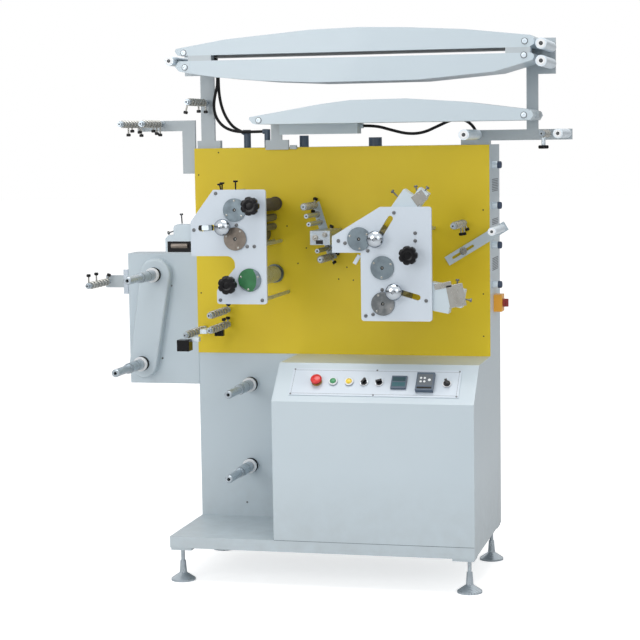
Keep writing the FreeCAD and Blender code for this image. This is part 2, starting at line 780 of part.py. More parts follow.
def make_caps():
    """Domed caps on short necks, which stand on the unit plates."""
    caps = []
    for name in cap_places:
        steps = [("cap_neck_radius", "0"), ("cap_radius", "cap_round"), ("cap_radius", "cap_height"),
                 ("cap_neck_radius", "cap_height"), ("cap_neck_radius", "unit_front - cap_front")]
        x, z = spot(name)
        caps.append(turned(name + "_cap", steps, x, "cap_front", z))
    keep(group("chrome_caps", caps))


def make_knobs():
    for name in knob_names:
        body = doc.addObject("PartDesign::Body", name)
        disc = body_sketch(body, "XZ_Plane", name + "_disc")
        disc.addGeometry(Part.Circle(Vector(0, 0, 0), Vector(0, 0, 1), size("knob_radius")))
        disc.addConstraint(Sketcher.Constraint("Coincident", 0, 3, -1, 1))
        index = disc.addConstraint(Sketcher.Constraint("Radius", 0, size("knob_radius")))
        disc.setExpression("Constraints[%d]" % index, cells("knob_radius"))
        head = body.newObject("PartDesign::Pad", name + "_head")
        head.Profile = disc
        head.Reversed = True
        head.setExpression("Length", cells("knob_depth"))
        scallop = body_sketch(body, "XZ_Plane", name + "_scallop")
        scallop.addGeometry(Part.Circle(Vector(0, size("knob_scallop_offset"), 0), Vector(0, 0, 1),
                                        size("knob_scallop")))
        scallop.addConstraint(Sketcher.Constraint("PointOnObject", 0, 3, -2))
        index = scallop.addConstraint(Sketcher.Constraint("DistanceY", -1, 1, 0, 3,
                                                          size("knob_scallop_offset")))
        scallop.setExpression("Constraints[%d]" % index, cells("knob_scallop_offset"))
        index = scallop.addConstraint(Sketcher.Constraint("Radius", 0, size("knob_scallop")))
        scallop.setExpression("Constraints[%d]" % index, cells("knob_scallop"))
        pocket = body.newObject("PartDesign::Pocket", name + "_bite")
        pocket.Profile = scallop
        pocket.Type = 1
        pocket.Midplane = True
        pattern = body.newObject("PartDesign::PolarPattern", name + "_bites")
        pattern.Originals = [pocket]
        pattern.Axis = (disc, ["N_Axis"])
        pattern.Angle = 360
        pattern.setExpression("Occurrences", cells("knob_lobes"))
        body.Tip = pattern
        hub = body_sketch(body, "XZ_Plane", name + "_hub")
        hub.addGeometry(Part.Circle(Vector(0, 0, 0), Vector(0, 0, 1), size("knob_hub_radius")))
        hub.addConstraint(Sketcher.Constraint("Coincident", 0, 3, -1, 1))
        index = hub.addConstraint(Sketcher.Constraint("Radius", 0, size("knob_hub_radius")))
        hub.setExpression("Constraints[%d]" % index, cells("knob_hub_radius"))
        neck = body.newObject("PartDesign::Pad", name + "_neck")
        neck.Profile = hub
        neck.Reversed = True
        neck.setExpression("Length", cells("unit_front - knob_front - seat_gap"))
        keep(place(body, name + "_x", "knob_front", name + "_z"))


def journalled(label, x, z, radius, front, back):
    """A roller with a journal at each end."""
    return turned(label, [("journal_radius", "0"), ("journal_radius", "journal_length"),
                          (radius, "journal_length"),
                          (radius, "(%s) - (%s) - journal_length" % (back, front)),
                          ("journal_radius", "(%s) - (%s) - journal_length" % (back, front)),
                          ("journal_radius", "(%s) - (%s)" % (back, front))], x, front, z)


def make_unit_rollers():
    front = "unit_back + seat_gap"
    back = "panel_front - seat_gap"
    keep(journalled("rubber_roller", *spot("rubber"), "rubber_radius", front, back))
    keep(journalled("lower_roller", *spot("lower_roller"), "lower_roller_radius", front,
                    back + " - bearing_ring_depth"))
    keep(group("unit_rollers", [journalled(name + "_cylinder", *spot(name), str(radius), front, back)
                                for name, radius in hidden_rollers]))


def tilted_box(label, x, z, length, height, angle, front, back):
    """A box seen from the front, turned about its lower left corner."""
    piece = doc.addObject("Part::Box", label)
    piece.setExpression("Length", cells(length))
    piece.setExpression("Width", cells("(%s) - (%s)" % (back, front)))
    piece.setExpression("Height", cells(height))
    piece.Placement.Rotation = Rotation(Vector(0, 1, 0), -angle)
    return place(piece, x, front, z)


def ink_block(name, length, height, angle):
    """A block of an ink box, turned about the place it is named for."""
    front = "unit_back + seat_gap"
    return tilted_box(name, *spot(name), length, height, size(angle), front, front + " + ink_box_depth")


def make_ink_boxes():
    x, z = spot("left_ink_box")
    left = x + " - ink_guard_reach"
    inner = left + " + ink_guard_sheet"
    right = x + " + left_ink_box_width"
    top = z + " + left_ink_box_height"
    crest = z + " + ink_guard_rise"
    foot = z + " - ink_guard_drop"
    front = "unit_back + seat_gap"
    keep(plate("left_ink_box",
               [(left, foot), (left, crest + " - left_ink_box_round"),
                (left + " + left_ink_box_round", crest), (x, crest),
                (x, top + " - left_ink_box_round"),
                (x + " + left_ink_box_round / 3", top + " - left_ink_box_round / 3"),
                (x + " + left_ink_box_round", top), (right, top), (right, z), (inner, z),
                (inner, foot)], front, "ink_box_depth"))
    keep(box("left_ink_tray", (inner + " + seat_gap", front, foot),
             ("%s - (%s) - seat_gap" % (right, inner), "ink_tray_depth",
              "ink_guard_drop - seat_gap")))
    upper = [ink_block("upper_ink_box", "49", "86", "upper_ink_tilt"),
             ink_block("upper_ink_end", "38", "77", "upper_ink_tilt")]
    lower = [ink_block("lower_ink_box", "94", "95", "lower_ink_tilt"),
             ink_block("lower_ink_end", "54", "63", "lower_ink_tilt")]
    keep(group("right_ink_boxes", [union("upper_ink_boxes", upper), union("lower_ink_boxes", lower)]))


def make_unwind():
    keep(box("unwind_housing", ("-unwind_width", "unwind_front", "unwind_bottom"),
             ("unwind_width", "unwind_depth", "unwind_top - unwind_bottom")))
    body = doc.addObject("PartDesign::Body", "belt_cover")
    sketch = body_sketch(body, "XZ_Plane", "belt_outline")
    high = Vector(size("upper_unwind_x"), size("upper_unwind_z"), 0)
    low = Vector(size("lower_unwind_x"), size("lower_unwind_z"), 0)
    high_radius = size("cover_top_radius")
    low_radius = size("cover_bottom_radius")
    along = high - low
    lean = math.atan2(along.y, along.x)
    spread = math.acos((low_radius - high_radius) / along.Length)
    rim = []
    for side in (1, -1):
        turn = lean + side * spread
        outward = Vector(math.cos(turn), math.sin(turn), 0)
        rim.append((high + outward * high_radius, low + outward * low_radius))
    crown = high + along.normalize() * high_radius
    keel = low - (high - low).normalize() * low_radius
    left, right = rim
    sketch.addGeometry([Part.Arc(right[0], crown, left[0]), Part.LineSegment(left[0], left[1]),
                        Part.Arc(left[1], keel, right[1]), Part.LineSegment(right[1], right[0])])
    sketch.addConstraint([Sketcher.Constraint("Block", edge) for edge in range(4)])
    pad = body.newObject("PartDesign::Pad", "belt_pad")
    pad.Profile = sketch
    pad.Reversed = True
    pad.setExpression("Length", cells("cover_depth"))
    doc.recompute()
    rim = ["Edge%d" % number for number, edge in enumerate(pad.Shape.Edges, start=1)
           if edge.BoundBox.YMax < 0.01]
    fillet = body.newObject("PartDesign::Fillet", "belt_round")
    fillet.Base = (pad, rim)
    fillet.setExpression("Radius", cells("cover_round"))
    body.Tip = fillet
    keep(place(body, "0", "unwind_front - cover_depth", "0"))


def spindle(label, x, z, seat):
    """A reel spindle: its flange stands on the seat and its tip points to the front."""
    steps = []
    distance = "0"
    for name in ("tip", "ring", "groove", "body", "collar", "flange"):
        radius = "spindle_%s_radius" % name
        if name == "tip":
            steps.append(("spindle_centre_radius", "spindle_centre_depth"))
            steps.append(("spindle_centre_radius", distance))
            steps.append((radius + " - spindle_tip_chamfer", distance))
            steps.append((radius, "spindle_tip_chamfer"))
            distance = ("spindle_length - spindle_ring - spindle_groove - spindle_body"
                        " - spindle_collar - spindle_flange")
            steps.append((radius, distance))
            continue
        steps.append((radius, distance))
        distance += " + spindle_" + name
        steps.append((radius, distance))
    return turned(label, steps, x, "(%s) - spindle_length - seat_gap" % seat, z)


def make_spindles():
    cover = "unwind_front - cover_depth"
    column = "console_depth"
    keep(spindle("upper_unwind_spindle", "upper_unwind_x", "upper_unwind_z", cover))
    keep(spindle("lower_unwind_spindle", "lower_unwind_x", "lower_unwind_z", cover))
    keep(spindle("upper_rewind_spindle", "upper_rewind_x", "upper_rewind_z", column))
    keep(spindle("lower_rewind_spindle", "lower_rewind_x", "lower_rewind_z", column))


def dryer(label, parts, left, right, level):
    """A dryer housing with blunt ends, from the corners of its left and right parts."""
    corners = [("%s + %s" % (left, along), "%s + %s" % (level, up)) for along, up in parts[0]]
    corners += [("%s - %s" % (right, along), "%s + %s" % (level, up)) for along, up in parts[1]]
    return plate(label, corners, "dryer_front", "post_front - dryer_front")


def make_dryers():
    keep(dryer("upper_dryer", upper_dryer_outline, "dryer_left", "dryer_right",
               "upper_dryer_bottom"))
    housing = dryer("middle_housing", middle_dryer_outline, "dryer_left", "dryer_right",
                    "middle_dryer_top")
    exits = []
    for name in ("front_nut", "rear_nut"):
        nut = doc.addObject("Part::Cylinder", name)
        nut.setExpression("Radius", cells("dryer_nut_radius"))
        nut.setExpression("Height", cells("dryer_nut_reach / 2"))
        exits.append(place(nut, name + "_x", "post_front - %s_inset" % name, "dryer_nut_bottom"))
    keep(union("middle_dryer", [housing] + exits))
    keep(dryer("lower_dryer", lower_dryer_outline, "lower_dryer_left", "lower_dryer_right",
               "lower_dryer_bottom"))
    spacers = [box("spacer_" + left, (left, "dryer_front", "middle_dryer_top"),
                   ("spacer_width", "spacer_depth", "web_gap"))
               for left in ("spacer_left", "right_spacer_left")]
    lamp = box("lamp_blank", ("lamp_left", "lamp_front", "lower_dryer_bottom - lamp_height"),
               ("lamp_width", "lamp_back - lamp_front", "lamp_height"))
    lamp_nut = side_rod("lamp_nut", "lamp_back - 14", "lamp_nut_z",
                        "lamp_left + lamp_width / 2", "lamp_left + lamp_width + gland_nut",
                        "gland_nut_radius")
    keep(union("lamp_box", [lamp, lamp_nut]))
    front = "panel_front - seat_gap - support_depth"
    foot = box("support_foot", ("support_left", front, "column_top - support_hook"),
               ("support_foot_width", "support_depth", "support_foot_height + support_hook"))
    pillar = box("support_pillar", ("support_left + support_foot_width / 4", front, "column_top"),
                 ("support_width", "support_depth", "lower_dryer_bottom - column_top"))
    keep(group("dryer_blocks", spacers + [union("dryer_support", [foot, pillar])]))


def make_posts():
    foot = box("left_foot", ("left_post_foot_left", "post_front", "column_top"),
               ("left_post_foot_width", "left_post_foot_depth", "left_post_foot_height"))
    upright = box("left_upright", ("left_post_left", "post_front", "column_top"),
                  ("left_post_width", "post_thickness", "left_post_top - column_top"))
    flag = box("left_flag", ("left_flag_left", "post_front", "left_flag_bottom"),
               ("left_post_left - left_flag_left + left_post_width", "post_thickness",
                "left_post_top - left_flag_bottom"))
    keep(union("left_post", [foot, upright, flag]))
    bar = box("bar_beam", ("bar_left", "post_front", "bar_bottom"),
              ("bar_right - bar_left", "post_thickness", "bar_height"))
    bar_foot = box("bar_foot", ("bar_left", "post_front", "column_top"),
                   ("base_length - bar_left", "bar_foot_depth", "bar_bottom - column_top"))
    upright = box("right_upright", ("right_post_left", "post_front", "bar_bottom + bar_height"),
                  ("right_post_width", "post_thickness",
                   "right_post_top - bar_bottom - bar_height"))
    flag = box("right_flag", ("right_post_left", "post_front", "right_flag_bottom"),
               ("right_flag_width", "post_thickness",
                "right_post_top - right_flag_bottom"))
    keep(union("right_post", [bar, bar_foot, upright, flag]))


def web_roller(label, x, z, radius):
    """A web roller that stands forward from its post, on a short stub."""
    return keep(turned(label, [(radius, "0"), (radius, "post_front - roller_front - roller_stub"),
                               ("roller_stub_radius", "post_front - roller_front - roller_stub"),
                               ("roller_stub_radius", "post_front - roller_front - seat_gap")],
                       x, "roller_front", z))


def make_web_rollers():
    web_roller("left_top_roller", "left_roller_x", "left_roller_z", "left_roller_radius")
    web_roller("right_high_roller", "right_roller_x", "right_roller_high", "right_roller_radius")
    web_roller("right_low_roller", "right_roller_x", "right_roller_low", "right_roller_radius")
    web_roller("bar_left_roller", "bar_roller_left_x", "bar_roller_z", "bar_roller_left_radius")
    web_roller("bar_right_roller", "bar_roller_right_x", "bar_roller_z", "bar_roller_right_radius")


def guide(label, x, z, back, length="guide_length"):
    """A fixed web guide: a plain rod with a set collar near each end."""
    steps = [("guide_radius", "0"), ("guide_radius", "guide_collar"),
             ("guide_collar_radius", "guide_collar"), ("guide_collar_radius", "2 * guide_collar"),
             ("guide_radius", "2 * guide_collar"), ("guide_radius", "(%s) - 2 * guide_collar" % length),
             ("guide_collar_radius", "(%s) - 2 * guide_collar" % length),
             ("guide_collar_radius", "(%s) - guide_collar" % length),
             ("guide_radius", "(%s) - guide_collar" % length), ("guide_radius", length)]
    return turned(label, steps, x, "(%s) - (%s)" % (back, length), z)


def make_guides():
    arm = plate("upper_guide_arm", [("arm_left", "arm_beam_bottom"), ("arm_left", "arm_top"),
                             ("arm_right", "arm_top"), ("arm_right", "arm_bottom"),
                             ("arm_upright_left", "arm_bottom"),
                             ("arm_upright_left", "arm_beam_bottom")],
               "arm_front", "arm_thickness")
    guides = [guide("arm_guide_one", "arm_first_rod_x", "arm_rod_z", "arm_front"),
              guide("arm_guide_two", "arm_second_rod_x", "arm_rod_z", "arm_front"),
              guide("post_guide", "post_rod_x", "post_rod_z", "post_front")]
    bracket = box("side_bracket", ("side_bracket_left", "unwind_front + side_bracket_thickness",
                                   "side_bracket_bottom"),
                  ("-unwind_width - side_bracket_left", "side_bracket_thickness",
                   "side_bracket_height"))
    guides.append(guide("bar_guide", "bar_guide_x", "bar_roller_z", "post_front",
                        "bar_guide_length"))
    guides.append(guide("side_guide", "side_rod_x", "side_bracket_bottom + side_bracket_height / 2",
                        "unwind_front + side_bracket_thickness", "230"))
    for name in guide_places:
        guides.append(guide(name, *spot(name), "panel_front"))
    keep(group("guide_arms", [arm, bracket]))
    keep(group("web_guides", guides))


def make_idlers():
    run_x = size("idler_bottom_x") - size("idler_top_x")
    run_z = size("idler_top_z") - size("idler_bottom_z")
    lean = math.degrees(math.atan2(run_z, run_x))
    bar = doc.addObject("Part::Box", "idler_bar")
    bar.setExpression("Length", cells("sqrt((idler_bottom_x - idler_top_x) ^ 2"
                                      " + (idler_top_z - idler_bottom_z) ^ 2)"))
    bar.setExpression("Width", cells("idler_thickness"))
    bar.setExpression("Height", cells("idler_width"))
    bar.Placement.Rotation = Rotation(Vector(0, 1, 0), lean)
    half = size("idler_width") / 2
    place(bar, "idler_top_x - %s" % (half * math.sin(math.radians(lean))),
          "panel_front - idler_thickness",
          "idler_top_z - %s" % (half * math.cos(math.radians(lean))))
    keep(bar)
    back = "panel_front - idler_thickness"
    rods = []
    for count, share in enumerate((0.04, 0.20, 0.34, 0.80, 0.95)):
        rods.append(rod("idler_rod_%d" % count,
                        "idler_top_x + (idler_bottom_x - idler_top_x) * %s" % share,
                        "idler_top_z - (idler_top_z - idler_bottom_z) * %s" % share,
                        "idler_rod_front", back, "guide_radius + 1"))
    eye = box("web_eye", ("web_eye_left", "idler_rod_front", "web_eye_bottom"),
              ("web_eye_width", "panel_front - idler_thickness - idler_rod_front",
               "web_eye_height"))
    keep(group("idler_rods", rods + [eye]))
    angle = size("slot_arm_angle")
    blank = doc.addObject("Part::Box", "slot_arm_blank")
    blank.setExpression("Length", cells("slot_arm_length"))
    blank.setExpression("Width", cells("slot_arm_thickness"))
    blank.setExpression("Height", cells("slot_arm_width"))
    blank.Placement.Rotation = Rotation(Vector(0, 1, 0), -angle)
    face = "panel_front - slot_arm_thickness"
    place(blank, "slot_arm_start_x + slot_arm_width / 2 * sin(slot_arm_angle)", face,
          "slot_arm_start_z - slot_arm_width / 2 * cos(slot_arm_angle)")
    reach = "(slot_arm_slot_start + slot_arm_slot_length / 2)"
    opening = slot("slot_arm_slot", "slot_arm_start_x + %s * cos(slot_arm_angle)" % reach,
                   "slot_arm_start_z + %s * sin(slot_arm_angle)" % reach, "slot_arm_slot_length",
                   "slot_arm_slot_width", angle, face + " - 5", "slot_arm_thickness + 10")
    keep(cut("slotted_arm", blank, [opening]))
    end = "(slot_arm_length - slot_arm_width / 2)"
    keep(rod("arm_roller", "slot_arm_start_x + %s * cos(slot_arm_angle)" % end,
             "slot_arm_start_z + %s * sin(slot_arm_angle)" % end, "slot_arm_roller_front",
             face + " - seat_gap", "slot_arm_roller_radius"))


def make_side_fittings():
    fittings = [side_rod(name, "fitting_y", name + "_z", "base_length", "base_length + fitting_length",
                         "fitting_radius") for name in fitting_names]
    keep(group("side_fittings", fittings))
    keep(box("main_switch_box", ("base_length", "switch_y - switch_side / 2",
                                 "switch_z - switch_side / 2"),
             ("switch_box_depth", "switch_side", "switch_side")))
    keep(side_rod("main_switch_handle", "switch_y", "switch_z",
                  "base_length + switch_box_depth + seat_gap",
                  "base_length + switch_box_depth + switch_handle_depth", "switch_handle_radius"))
    glands = []
    for count, (x, back, radius, height) in enumerate(roof_glands):
        gland = doc.addObject("Part::Cylinder", "gland_%d" % count)
        gland.Radius = radius
        gland.Height = height
        place(gland, x, "console_depth + %s" % back, "column_top")
        if count < 2:
            end = ("%s - %s - gland_nut / 2" % (x, radius), "console_depth + %s" % back,
                   "column_top + cable_rise")
            nut = aimed_rod("gland_nut_%d" % count, end, gland_directions[count],
                            "gland_nut_radius * 2", "gland_nut_radius")
            gland = union("elbow_%d" % count, [gland, nut])
        glands.append(gland)
    keep(group("roof_glands", glands))


def cable(label, route):
    """A cable along the points of its route: straight runs with a tangent arc between them."""
    points = [Vector(*point) - Vector(size("origin_x"), size("origin_y"), 0) for point in route]
    edges = []
    start = points[0]
    for before, here, after in zip(points, points[1:], points[2:]):
        back = (before - here).normalize()
        ahead = (after - here).normalize()
        half = (math.pi - back.getAngle(ahead)) / 2
        reach = 0.45 * min(here.distanceToPoint(before), here.distanceToPoint(after))
        radius = reach / math.tan(half)
        inward = (back + ahead).normalize()
        middle = here + inward * (radius / math.cos(half) - radius)
        edges.append(Part.LineSegment(start, here + back * reach).toShape())
        edges.append(Part.Arc(here + back * reach, middle, here + ahead * reach).toShape())
        start = here + ahead * reach
        print("%s bends at %.0f mm radius" % (label, radius))
    edges.append(Part.LineSegment(start, points[-1]).toShape())
    path = Part.Wire(edges)
    disc = Part.Wire([Part.Circle(points[0], points[1] - points[0], size("cable_radius")).toShape()])
    tube = path.makePipeShell([disc], True, False)
    expected = math.pi * size("cable_radius") ** 2 * path.Length
    if abs(tube.Volume / expected - 1) > 0.01:
        raise RuntimeError("%s has %.0f mm3 in place of %.0f" % (label, tube.Volume, expected))
    piece = doc.addObject("Part::Feature", label)
    piece.Shape = tube
    return keep(piece)


def make_cables():
    for label, route in cable_routes.items():
        cable(label, route)


make_base()
make_feet()
make_cabinets()
make_controls()
make_unit_plates()
make_unit_fittings()
make_caps()
make_knobs()
make_unit_rollers()
make_ink_boxes()
make_unwind()
make_spindles()
make_dryers()
make_posts()
make_web_rollers()
make_guides()
make_idlers()
make_side_fittings()
make_cables()
doc.recompute()

failed = [item.Label for item in doc.Objects if "Invalid" in item.State or "Error" in item.State]
for piece in finished:
    if piece.Shape.isNull() or not piece.Shape.isValid() or not piece.Shape.Solids:
        failed.append(piece.Label)
if failed:
    raise RuntimeError("These did not build: " + ", ".join(failed))
os.makedirs("parts", exist_ok=True)
for piece in finished:
    piece.Shape.exportStep("parts/%s.step" % piece.Label)
extent = FreeCAD.BoundBox()
for piece in finished:
    extent.add(piece.Shape.BoundBox)
print("%d pieces, x %.1f to %.1f, y %.1f to %.1f, z %.1f to %.1f" % (
    len(finished), extent.XMin, extent.XMax, extent.YMin, extent.YMax, extent.ZMin, extent.ZMax))
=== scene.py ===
import math

import bpy
import numpy as np
from mathutils import Matrix, Vector


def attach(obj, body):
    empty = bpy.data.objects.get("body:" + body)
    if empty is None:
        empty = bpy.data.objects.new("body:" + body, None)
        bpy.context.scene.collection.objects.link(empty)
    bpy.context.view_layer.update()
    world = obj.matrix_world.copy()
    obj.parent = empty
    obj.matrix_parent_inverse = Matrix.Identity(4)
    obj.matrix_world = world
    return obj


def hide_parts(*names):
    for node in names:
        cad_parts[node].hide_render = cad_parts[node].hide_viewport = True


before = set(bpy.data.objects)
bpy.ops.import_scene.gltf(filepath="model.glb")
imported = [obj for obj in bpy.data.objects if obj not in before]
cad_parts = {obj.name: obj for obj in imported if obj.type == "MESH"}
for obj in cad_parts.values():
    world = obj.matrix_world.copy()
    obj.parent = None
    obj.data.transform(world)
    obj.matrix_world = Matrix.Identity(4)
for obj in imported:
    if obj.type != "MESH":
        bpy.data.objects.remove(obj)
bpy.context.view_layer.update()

scene = bpy.context.scene
mm = 0.001
machineZero = np.array((0.5135, 0.2975, 0.0))  # from the base's front left corner to the middle, in metres


def spot(x, y, z):
    # a place in millimetres from the base's front left corner, as a place of the frame: p / 1000 - zero
    return np.array((x, y, z), float) * mm - machineZero


camera = {
    "position": (1.56687, -6.44573, 1.58133),
    "right": (0.97118, 0.23788, -0.01475),
    "up": (-0.00922, 0.09935, 0.99501),
    "forward": (-0.23816, 0.96620, -0.09868),
    "lens": 103.42, "sensor": 36.0, "farthest": 100.0,
}


def makeCamera():
    # the columns of the camera's turn are the view's right, its up and the reverse of its forward
    data = bpy.data.cameras.new("photoCamera")
    data.lens = camera["lens"]
    data.sensor_width = camera["sensor"]
    data.clip_end = camera["farthest"]
    rig = bpy.data.objects.new("photoCamera", data)
    turn = Matrix((camera["right"], camera["up"], [-v for v in camera["forward"]])).transposed()
    rig.matrix_world = Matrix.Translation(camera["position"]) @ turn.to_4x4()
    scene.collection.objects.link(rig)
    scene.camera = rig


makeCamera()
print("camera placed")


def screen(red, green, blue):
    # the linear colour that shows as this one: ((v + 0.055) / 1.055) ^ 2.4, and v / 12.92 near black
    return tuple(((v + 0.055) / 1.055) ** 2.4 if v > 0.04045 else v / 12.92
                 for v in (red, green, blue)) + (1.0,)


def feed(tree, socket, value):
    # a number or a colour is set on the socket, an output is linked to it
    if isinstance(value, (int, float, tuple)):
        socket.default_value = value
    else:
        tree.links.new(value, socket)


def noise(tree, coordinate, scale, detail):
    # soft noise between 0 and 1 with grains about 1 / scale wide
    node = tree.nodes.new("ShaderNodeTexNoise")
    feed(tree, node.inputs["Scale"], scale)
    node.inputs["Detail"].default_value = detail
    tree.links.new(coordinate, node.inputs["Vector"])
    return node.outputs["Fac"]


def mapRange(tree, value, low, high):
    # (value - low) / (high - low), kept between 0 and 1
    node = tree.nodes.new("ShaderNodeMapRange")
    node.inputs["From Min"].default_value = low
    node.inputs["From Max"].default_value = high
    tree.links.new(value, node.inputs["Value"])
    return node.outputs[0]


def mathNode(tree, operation, first, second, clamp=False):
    # two values under one operation, kept between 0 and 1 if clamped
    node = tree.nodes.new("ShaderNodeMath")
    node.operation = operation
    node.use_clamp = clamp
    feed(tree, node.inputs[0], first)
    feed(tree, node.inputs[1], second)
    return node.outputs[0]


def mixColour(tree, amount, first, second):
    # first (1 - amount) + second amount
    node = tree.nodes.new("ShaderNodeMix")
    node.data_type = "RGBA"
    for index, value in ((0, amount), (6, first), (7, second)):
        feed(tree, node.inputs[index], value)
    return node.outputs[2]


def newGroup(name, colours, numbers):
    # a node group: colours and numbers go in, a colour, a roughness and a height come out
    group = bpy.data.node_groups.new(name, "ShaderNodeTree")
    for label in colours:
        group.interface.new_socket(label, in_out="INPUT", socket_type="NodeSocketColor")
    for label, value in numbers.items():
        socket = group.interface.new_socket(label, in_out="INPUT", socket_type="NodeSocketFloat")
        socket.default_value = value
    for label, kind in (("Colour", "Color"), ("Roughness", "Float"), ("Height", "Float")):
        group.interface.new_socket(label, in_out="OUTPUT", socket_type="NodeSocket" + kind)
    given = group.nodes.new("NodeGroupInput").outputs
    place = group.nodes.new("ShaderNodeTexCoord").outputs["Object"]
    return group, given, place


def putOut(group, colour, roughness, height):
    # the three results of a group, linked to its outputs
    results = group.nodes.new("NodeGroupOutput").inputs
    for label, value in (("Colour", colour), ("Roughness", roughness), ("Height", height)):
        group.links.new(value, results[label])
    return group


powderCoat = {
    "cloudDetail": 4.0, "cloudRange": (0.35, 0.7),
    "dustHeights": (0.42, 0.10), "dustScale": 22.0, "dustDetail": 5.0,  # metres over the floor: none, all
    "dustColour": (0.52, 0.50, 0.46), "dustRoughness": 0.4,
    "fineScale": 60.0, "fineDetail": 2.0, "fineRoughness": 0.10, "peelScale": 650.0, "peelDetail": 1.0,
}


def makePaintGroup():
    # sprayed powder coat: a cloud in the colour, then dust = lowness x noise x amount; orange peel in
    # the height; roughness = the paint's own + a fine noise + dust
    c = powderCoat
    group, given, place = newGroup("powderCoat", ("Colour", "Cloud Colour"), {
        "Cloud Scale": 2.0, "Cloud Amount": 0.4, "Roughness": 0.35, "Dust": 0.2})
    cloud = mapRange(group, noise(group, place, given["Cloud Scale"], c["cloudDetail"]), *c["cloudRange"])
    amount = mathNode(group, "MULTIPLY", cloud, given["Cloud Amount"])
    colour = mixColour(group, amount, given["Colour"], given["Cloud Colour"])
    axes = group.nodes.new("ShaderNodeSeparateXYZ")
    group.links.new(place, axes.inputs[0])
    low = mapRange(group, axes.outputs["Z"], *c["dustHeights"])
    dust = mathNode(group, "MULTIPLY", low, noise(group, place, c["dustScale"], c["dustDetail"]))
    dust = mathNode(group, "MULTIPLY", dust, given["Dust"], clamp=True)
    colour = mixColour(group, dust, colour, screen(*c["dustColour"]))
    fine = noise(group, place, c["fineScale"], c["fineDetail"])
    fine = mathNode(group, "MULTIPLY", fine, c["fineRoughness"])
    rough = mathNode(group, "ADD", given["Roughness"], fine)
    dusty = mathNode(group, "MULTIPLY", dust, c["dustRoughness"])
    rough = mathNode(group, "ADD", rough, dusty, clamp=True)
    return putOut(group, colour, rough, noise(group, place, c["peelScale"], c["peelDetail"]))


turnedSteel = {
    "stretch": (30.0, 900.0, 30.0), "streakDetail": 2.0,
    "stainScale": 35.0, "stainDetail": 5.0, "stainRange": (0.42, 0.68), "stainRoughness": 0.15,
}


def makeMetalGroup():
    # turned steel: stains in the colour; streaks that change along the machine's depth in the height;
    # roughness = the steel's own + streak + stain
    c = turnedSteel
    group, given, place = newGroup("turnedSteel", ("Colour", "Stain Colour"), {
        "Stain Amount": 0.4, "Roughness": 0.3, "Streak": 0.15})
    stretch = group.nodes.new("ShaderNodeMapping")
    stretch.inputs["Scale"].default_value = c["stretch"]
    group.links.new(place, stretch.inputs["Vector"])
    streak = noise(group, stretch.outputs[0], 1.0, c["streakDetail"])
    stain = mapRange(group, noise(group, place, c["stainScale"], c["stainDetail"]), *c["stainRange"])
    amount = mathNode(group, "MULTIPLY", stain, given["Stain Amount"])
    colour = mixColour(group, amount, given["Colour"], given["Stain Colour"])
    streaked = mathNode(group, "MULTIPLY", streak, given["Streak"])
    rough = mathNode(group, "ADD", given["Roughness"], streaked)
    stained = mathNode(group, "MULTIPLY", amount, c["stainRoughness"])
    return putOut(group, colour, mathNode(group, "ADD", rough, stained, clamp=True), streak)


mouldedPlastic = {"scuffScale": 70.0, "scuffDetail": 6.0, "scuffShare": 0.25,
                  "scuffColour": (0.6, 0.6, 0.6), "grainDetail": 1.0}


def makePlasticGroup():
    # moulded plastic: faint scuffs that dull the gloss and pale the colour, and a fine grain in the height
    c = mouldedPlastic
    group, given, place = newGroup("mouldedPlastic", ("Colour",), {
        "Roughness": 0.3, "Scuff": 0.15, "Grain Scale": 900.0})
    scuff = noise(group, place, c["scuffScale"], c["scuffDetail"])
    amount = mathNode(group, "MULTIPLY", scuff, given["Scuff"])
    rough = mathNode(group, "ADD", given["Roughness"], amount, clamp=True)
    pale = mathNode(group, "MULTIPLY", amount, c["scuffShare"])
    colour = mixColour(group, pale, given["Colour"], screen(*c["scuffColour"]))
    return putOut(group, colour, rough, noise(group, place, given["Grain Scale"], c["grainDetail"]))


groups = {"paint": makePaintGroup(), "metal": makeMetalGroup(), "plastic": makePlasticGroup()}


def paint(slot, colour, cloud, scale, amount, roughness, dust, **look):
    # a powder coat: the slot, the group, the group's values and the look, which the shader takes itself
    return slot, "paint", {"Colour": screen(*colour), "Cloud Colour": screen(*cloud), "Cloud Scale": scale,
                           "Cloud Amount": amount, "Roughness": roughness, "Dust": dust}, look


def metal(slot, colour, stain, amount, roughness, streak, **look):
    # a turned steel, in the same order
    return slot, "metal", {"Colour": screen(*colour), "Stain Colour": screen(*stain),
                           "Stain Amount": amount, "Roughness": roughness, "Streak": streak}, look


def plastic(slot, colour, roughness, scuff, **look):
    # a moulded plastic or rubber, in the same order
    return slot, "plastic", {"Colour": screen(*colour), "Roughness": roughness, "Scuff": scuff}, look


